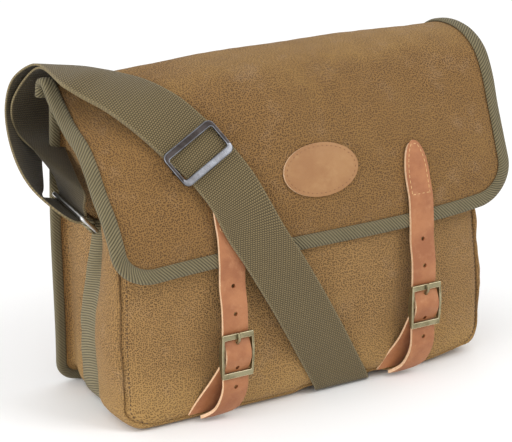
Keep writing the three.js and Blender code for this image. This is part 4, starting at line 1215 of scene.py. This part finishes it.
def strap_seam(line, half, normals):
    """Seam round the pointed end of a closing strap and straight across below it."""
    run = lengths_along(line)
    across_at = run[np.argmin(np.abs(line[:, 2] - STRAP_SEAM["cross_z"]))]
    side = np.linspace(across_at, STRAP_SEAM["from_point"], 60)
    width = np.maximum(np.interp(side, run, half) - STRAP_SEAM["inset"], 0)
    straight = np.linspace(STRAP_SEAM["cross_half"], -STRAP_SEAM["cross_half"], 20)
    seams = []
    for at, across in (
        (np.concatenate([side, side[::-1]]), np.concatenate([-width, width[::-1]])),
        (np.full(len(straight), across_at), straight),
    ):
        middle, up = (pick(at, run, rows) for rows in (line, normals))
        seams.append((middle + across[:, None] * ACROSS_X + up * (LEATHER - STRAP_SEAM["sunk"]), up))
    return seams


def patch_seam():
    inset = 3
    turn = np.linspace(0, 2 * math.pi, 161)
    x = (PATCH["width"] / 2 - inset) * np.cos(turn)
    t = PATCH["centre"] + (PATCH["height"] / 2 - inset) * np.sin(turn) / FLAP_LENGTH
    return on_flap(x, t, np.full(len(turn), PATCH["gap"] + PATCH["thickness"])), flap_normal(x, t)


def flap_tape_seam():
    inset, height = 7.4, 2.85
    middle, normal, inward = flap_rim()
    return middle + inward * inset + normal * height, normal


def back_tape_seam():
    inset, height = 6.2, 3.25
    line = gusset_grid(FLANGE_TIP, -inset, BINDING_MIDDLE + height)[:, 0]
    return line, np.broadcast_to((0.0, 1.0, 0.0), line.shape)


def front_seam(points):
    """Seam down the left side of the front panel, along its foot and up the right side."""
    sunk = 0.1
    grids = (points, grid_normals(points))
    line, up = (np.concatenate([grid[:, 1], grid[-1, 2:-2], grid[::-1, -2]]) for grid in grids)
    return line - up * sunk, up


# The bag

gusset, gusset_face = make_gusset()
gusset_webbing = make_gusset_webbing(gusset_face)
front_panel, front_face = make_front_panel()
back_panel = make_back_panel()
make_back_binding()
flap = make_flap()
make_flap_binding()
make_patch()
leather_seams = []
for side, x in (("left", -STRAP_X), ("right", STRAP_X)):
    axle_z = BUCKLE_Z[side]
    leather_seams += strap_seam(*make_closing_strap(side, x, axle_z))
    make_buckle_strap(side, x, axle_z)
    make_buckle(side, x, axle_z)
    make_prong(side, x, axle_z)
shoulder_strap, strap_length = make_shoulder_strap()
make_slider()
for name, side in (("left_ring", -1), ("right_ring", 1)):
    make_ring(name, side)
    make_ring_tab(name + "_tab", side)
TAPE_STITCH = {"length": 2.2, "thick": 0.7, "pitch": 3.6}
sew("leather_stitches", leather_seams, CREAM_THREAD, "leather", length=3.0, thick=0.75, pitch=4.8)
sew("patch_stitches", [patch_seam()], TAN_THREAD, "patch_leather", length=2.0, thick=0.7, pitch=4.6)
sew("flap_tape_stitches", [flap_tape_seam()], OLIVE_THREAD, "webbing", **TAPE_STITCH)
sew("back_tape_stitches", [back_tape_seam()], OLIVE_THREAD, "webbing", **TAPE_STITCH)
front_seams = [front_seam(front_face)]
sew("front_seam_stitches", front_seams, BROWN_THREAD, "cloth", length=2.2, thick=0.8, pitch=4.2)

# Floor and light, in metres

FLOOR_SIZE = 14
LIGHT_AIM = Vector((0, 0, 0.12))


def add_floor():
    deselect()
    bpy.ops.mesh.primitive_plane_add(size=FLOOR_SIZE)
    floor = bpy.context.object
    floor.name = "floor"
    finish, _ = plain_finish(
        "pale_floor", Base_Color=(0.93, 0.93, 0.93, 1), Roughness=0.9, Specular_IOR_Level=0.1
    )
    floor.data.materials.append(finish)


def add_light(name, place, size, power):
    deselect()
    facing = (Vector(place) - LIGHT_AIM).to_track_quat("Z", "Y")
    bpy.ops.object.light_add(type="AREA", location=place, rotation=facing.to_euler())
    lamp = bpy.context.object
    lamp.name = name
    lamp.data.size = size
    lamp.data.energy = power


def light_studio():
    scene = bpy.context.scene
    scene.world = scene.world or bpy.data.worlds.new("studio")
    scene.world.use_nodes = True
    background = scene.world.node_tree.nodes["Background"]
    background.inputs["Color"].default_value = (1, 1, 1, 1)
    background.inputs["Strength"].default_value = 1.0
    add_light("key_softbox", (1.2, -1.8, 2.2), size=1.3, power=26)
    add_light("fill_softbox", (-2.6, -0.6, 0.8), size=1.8, power=38)
    scene.view_settings.view_transform = "Standard"


add_floor()
light_studio()
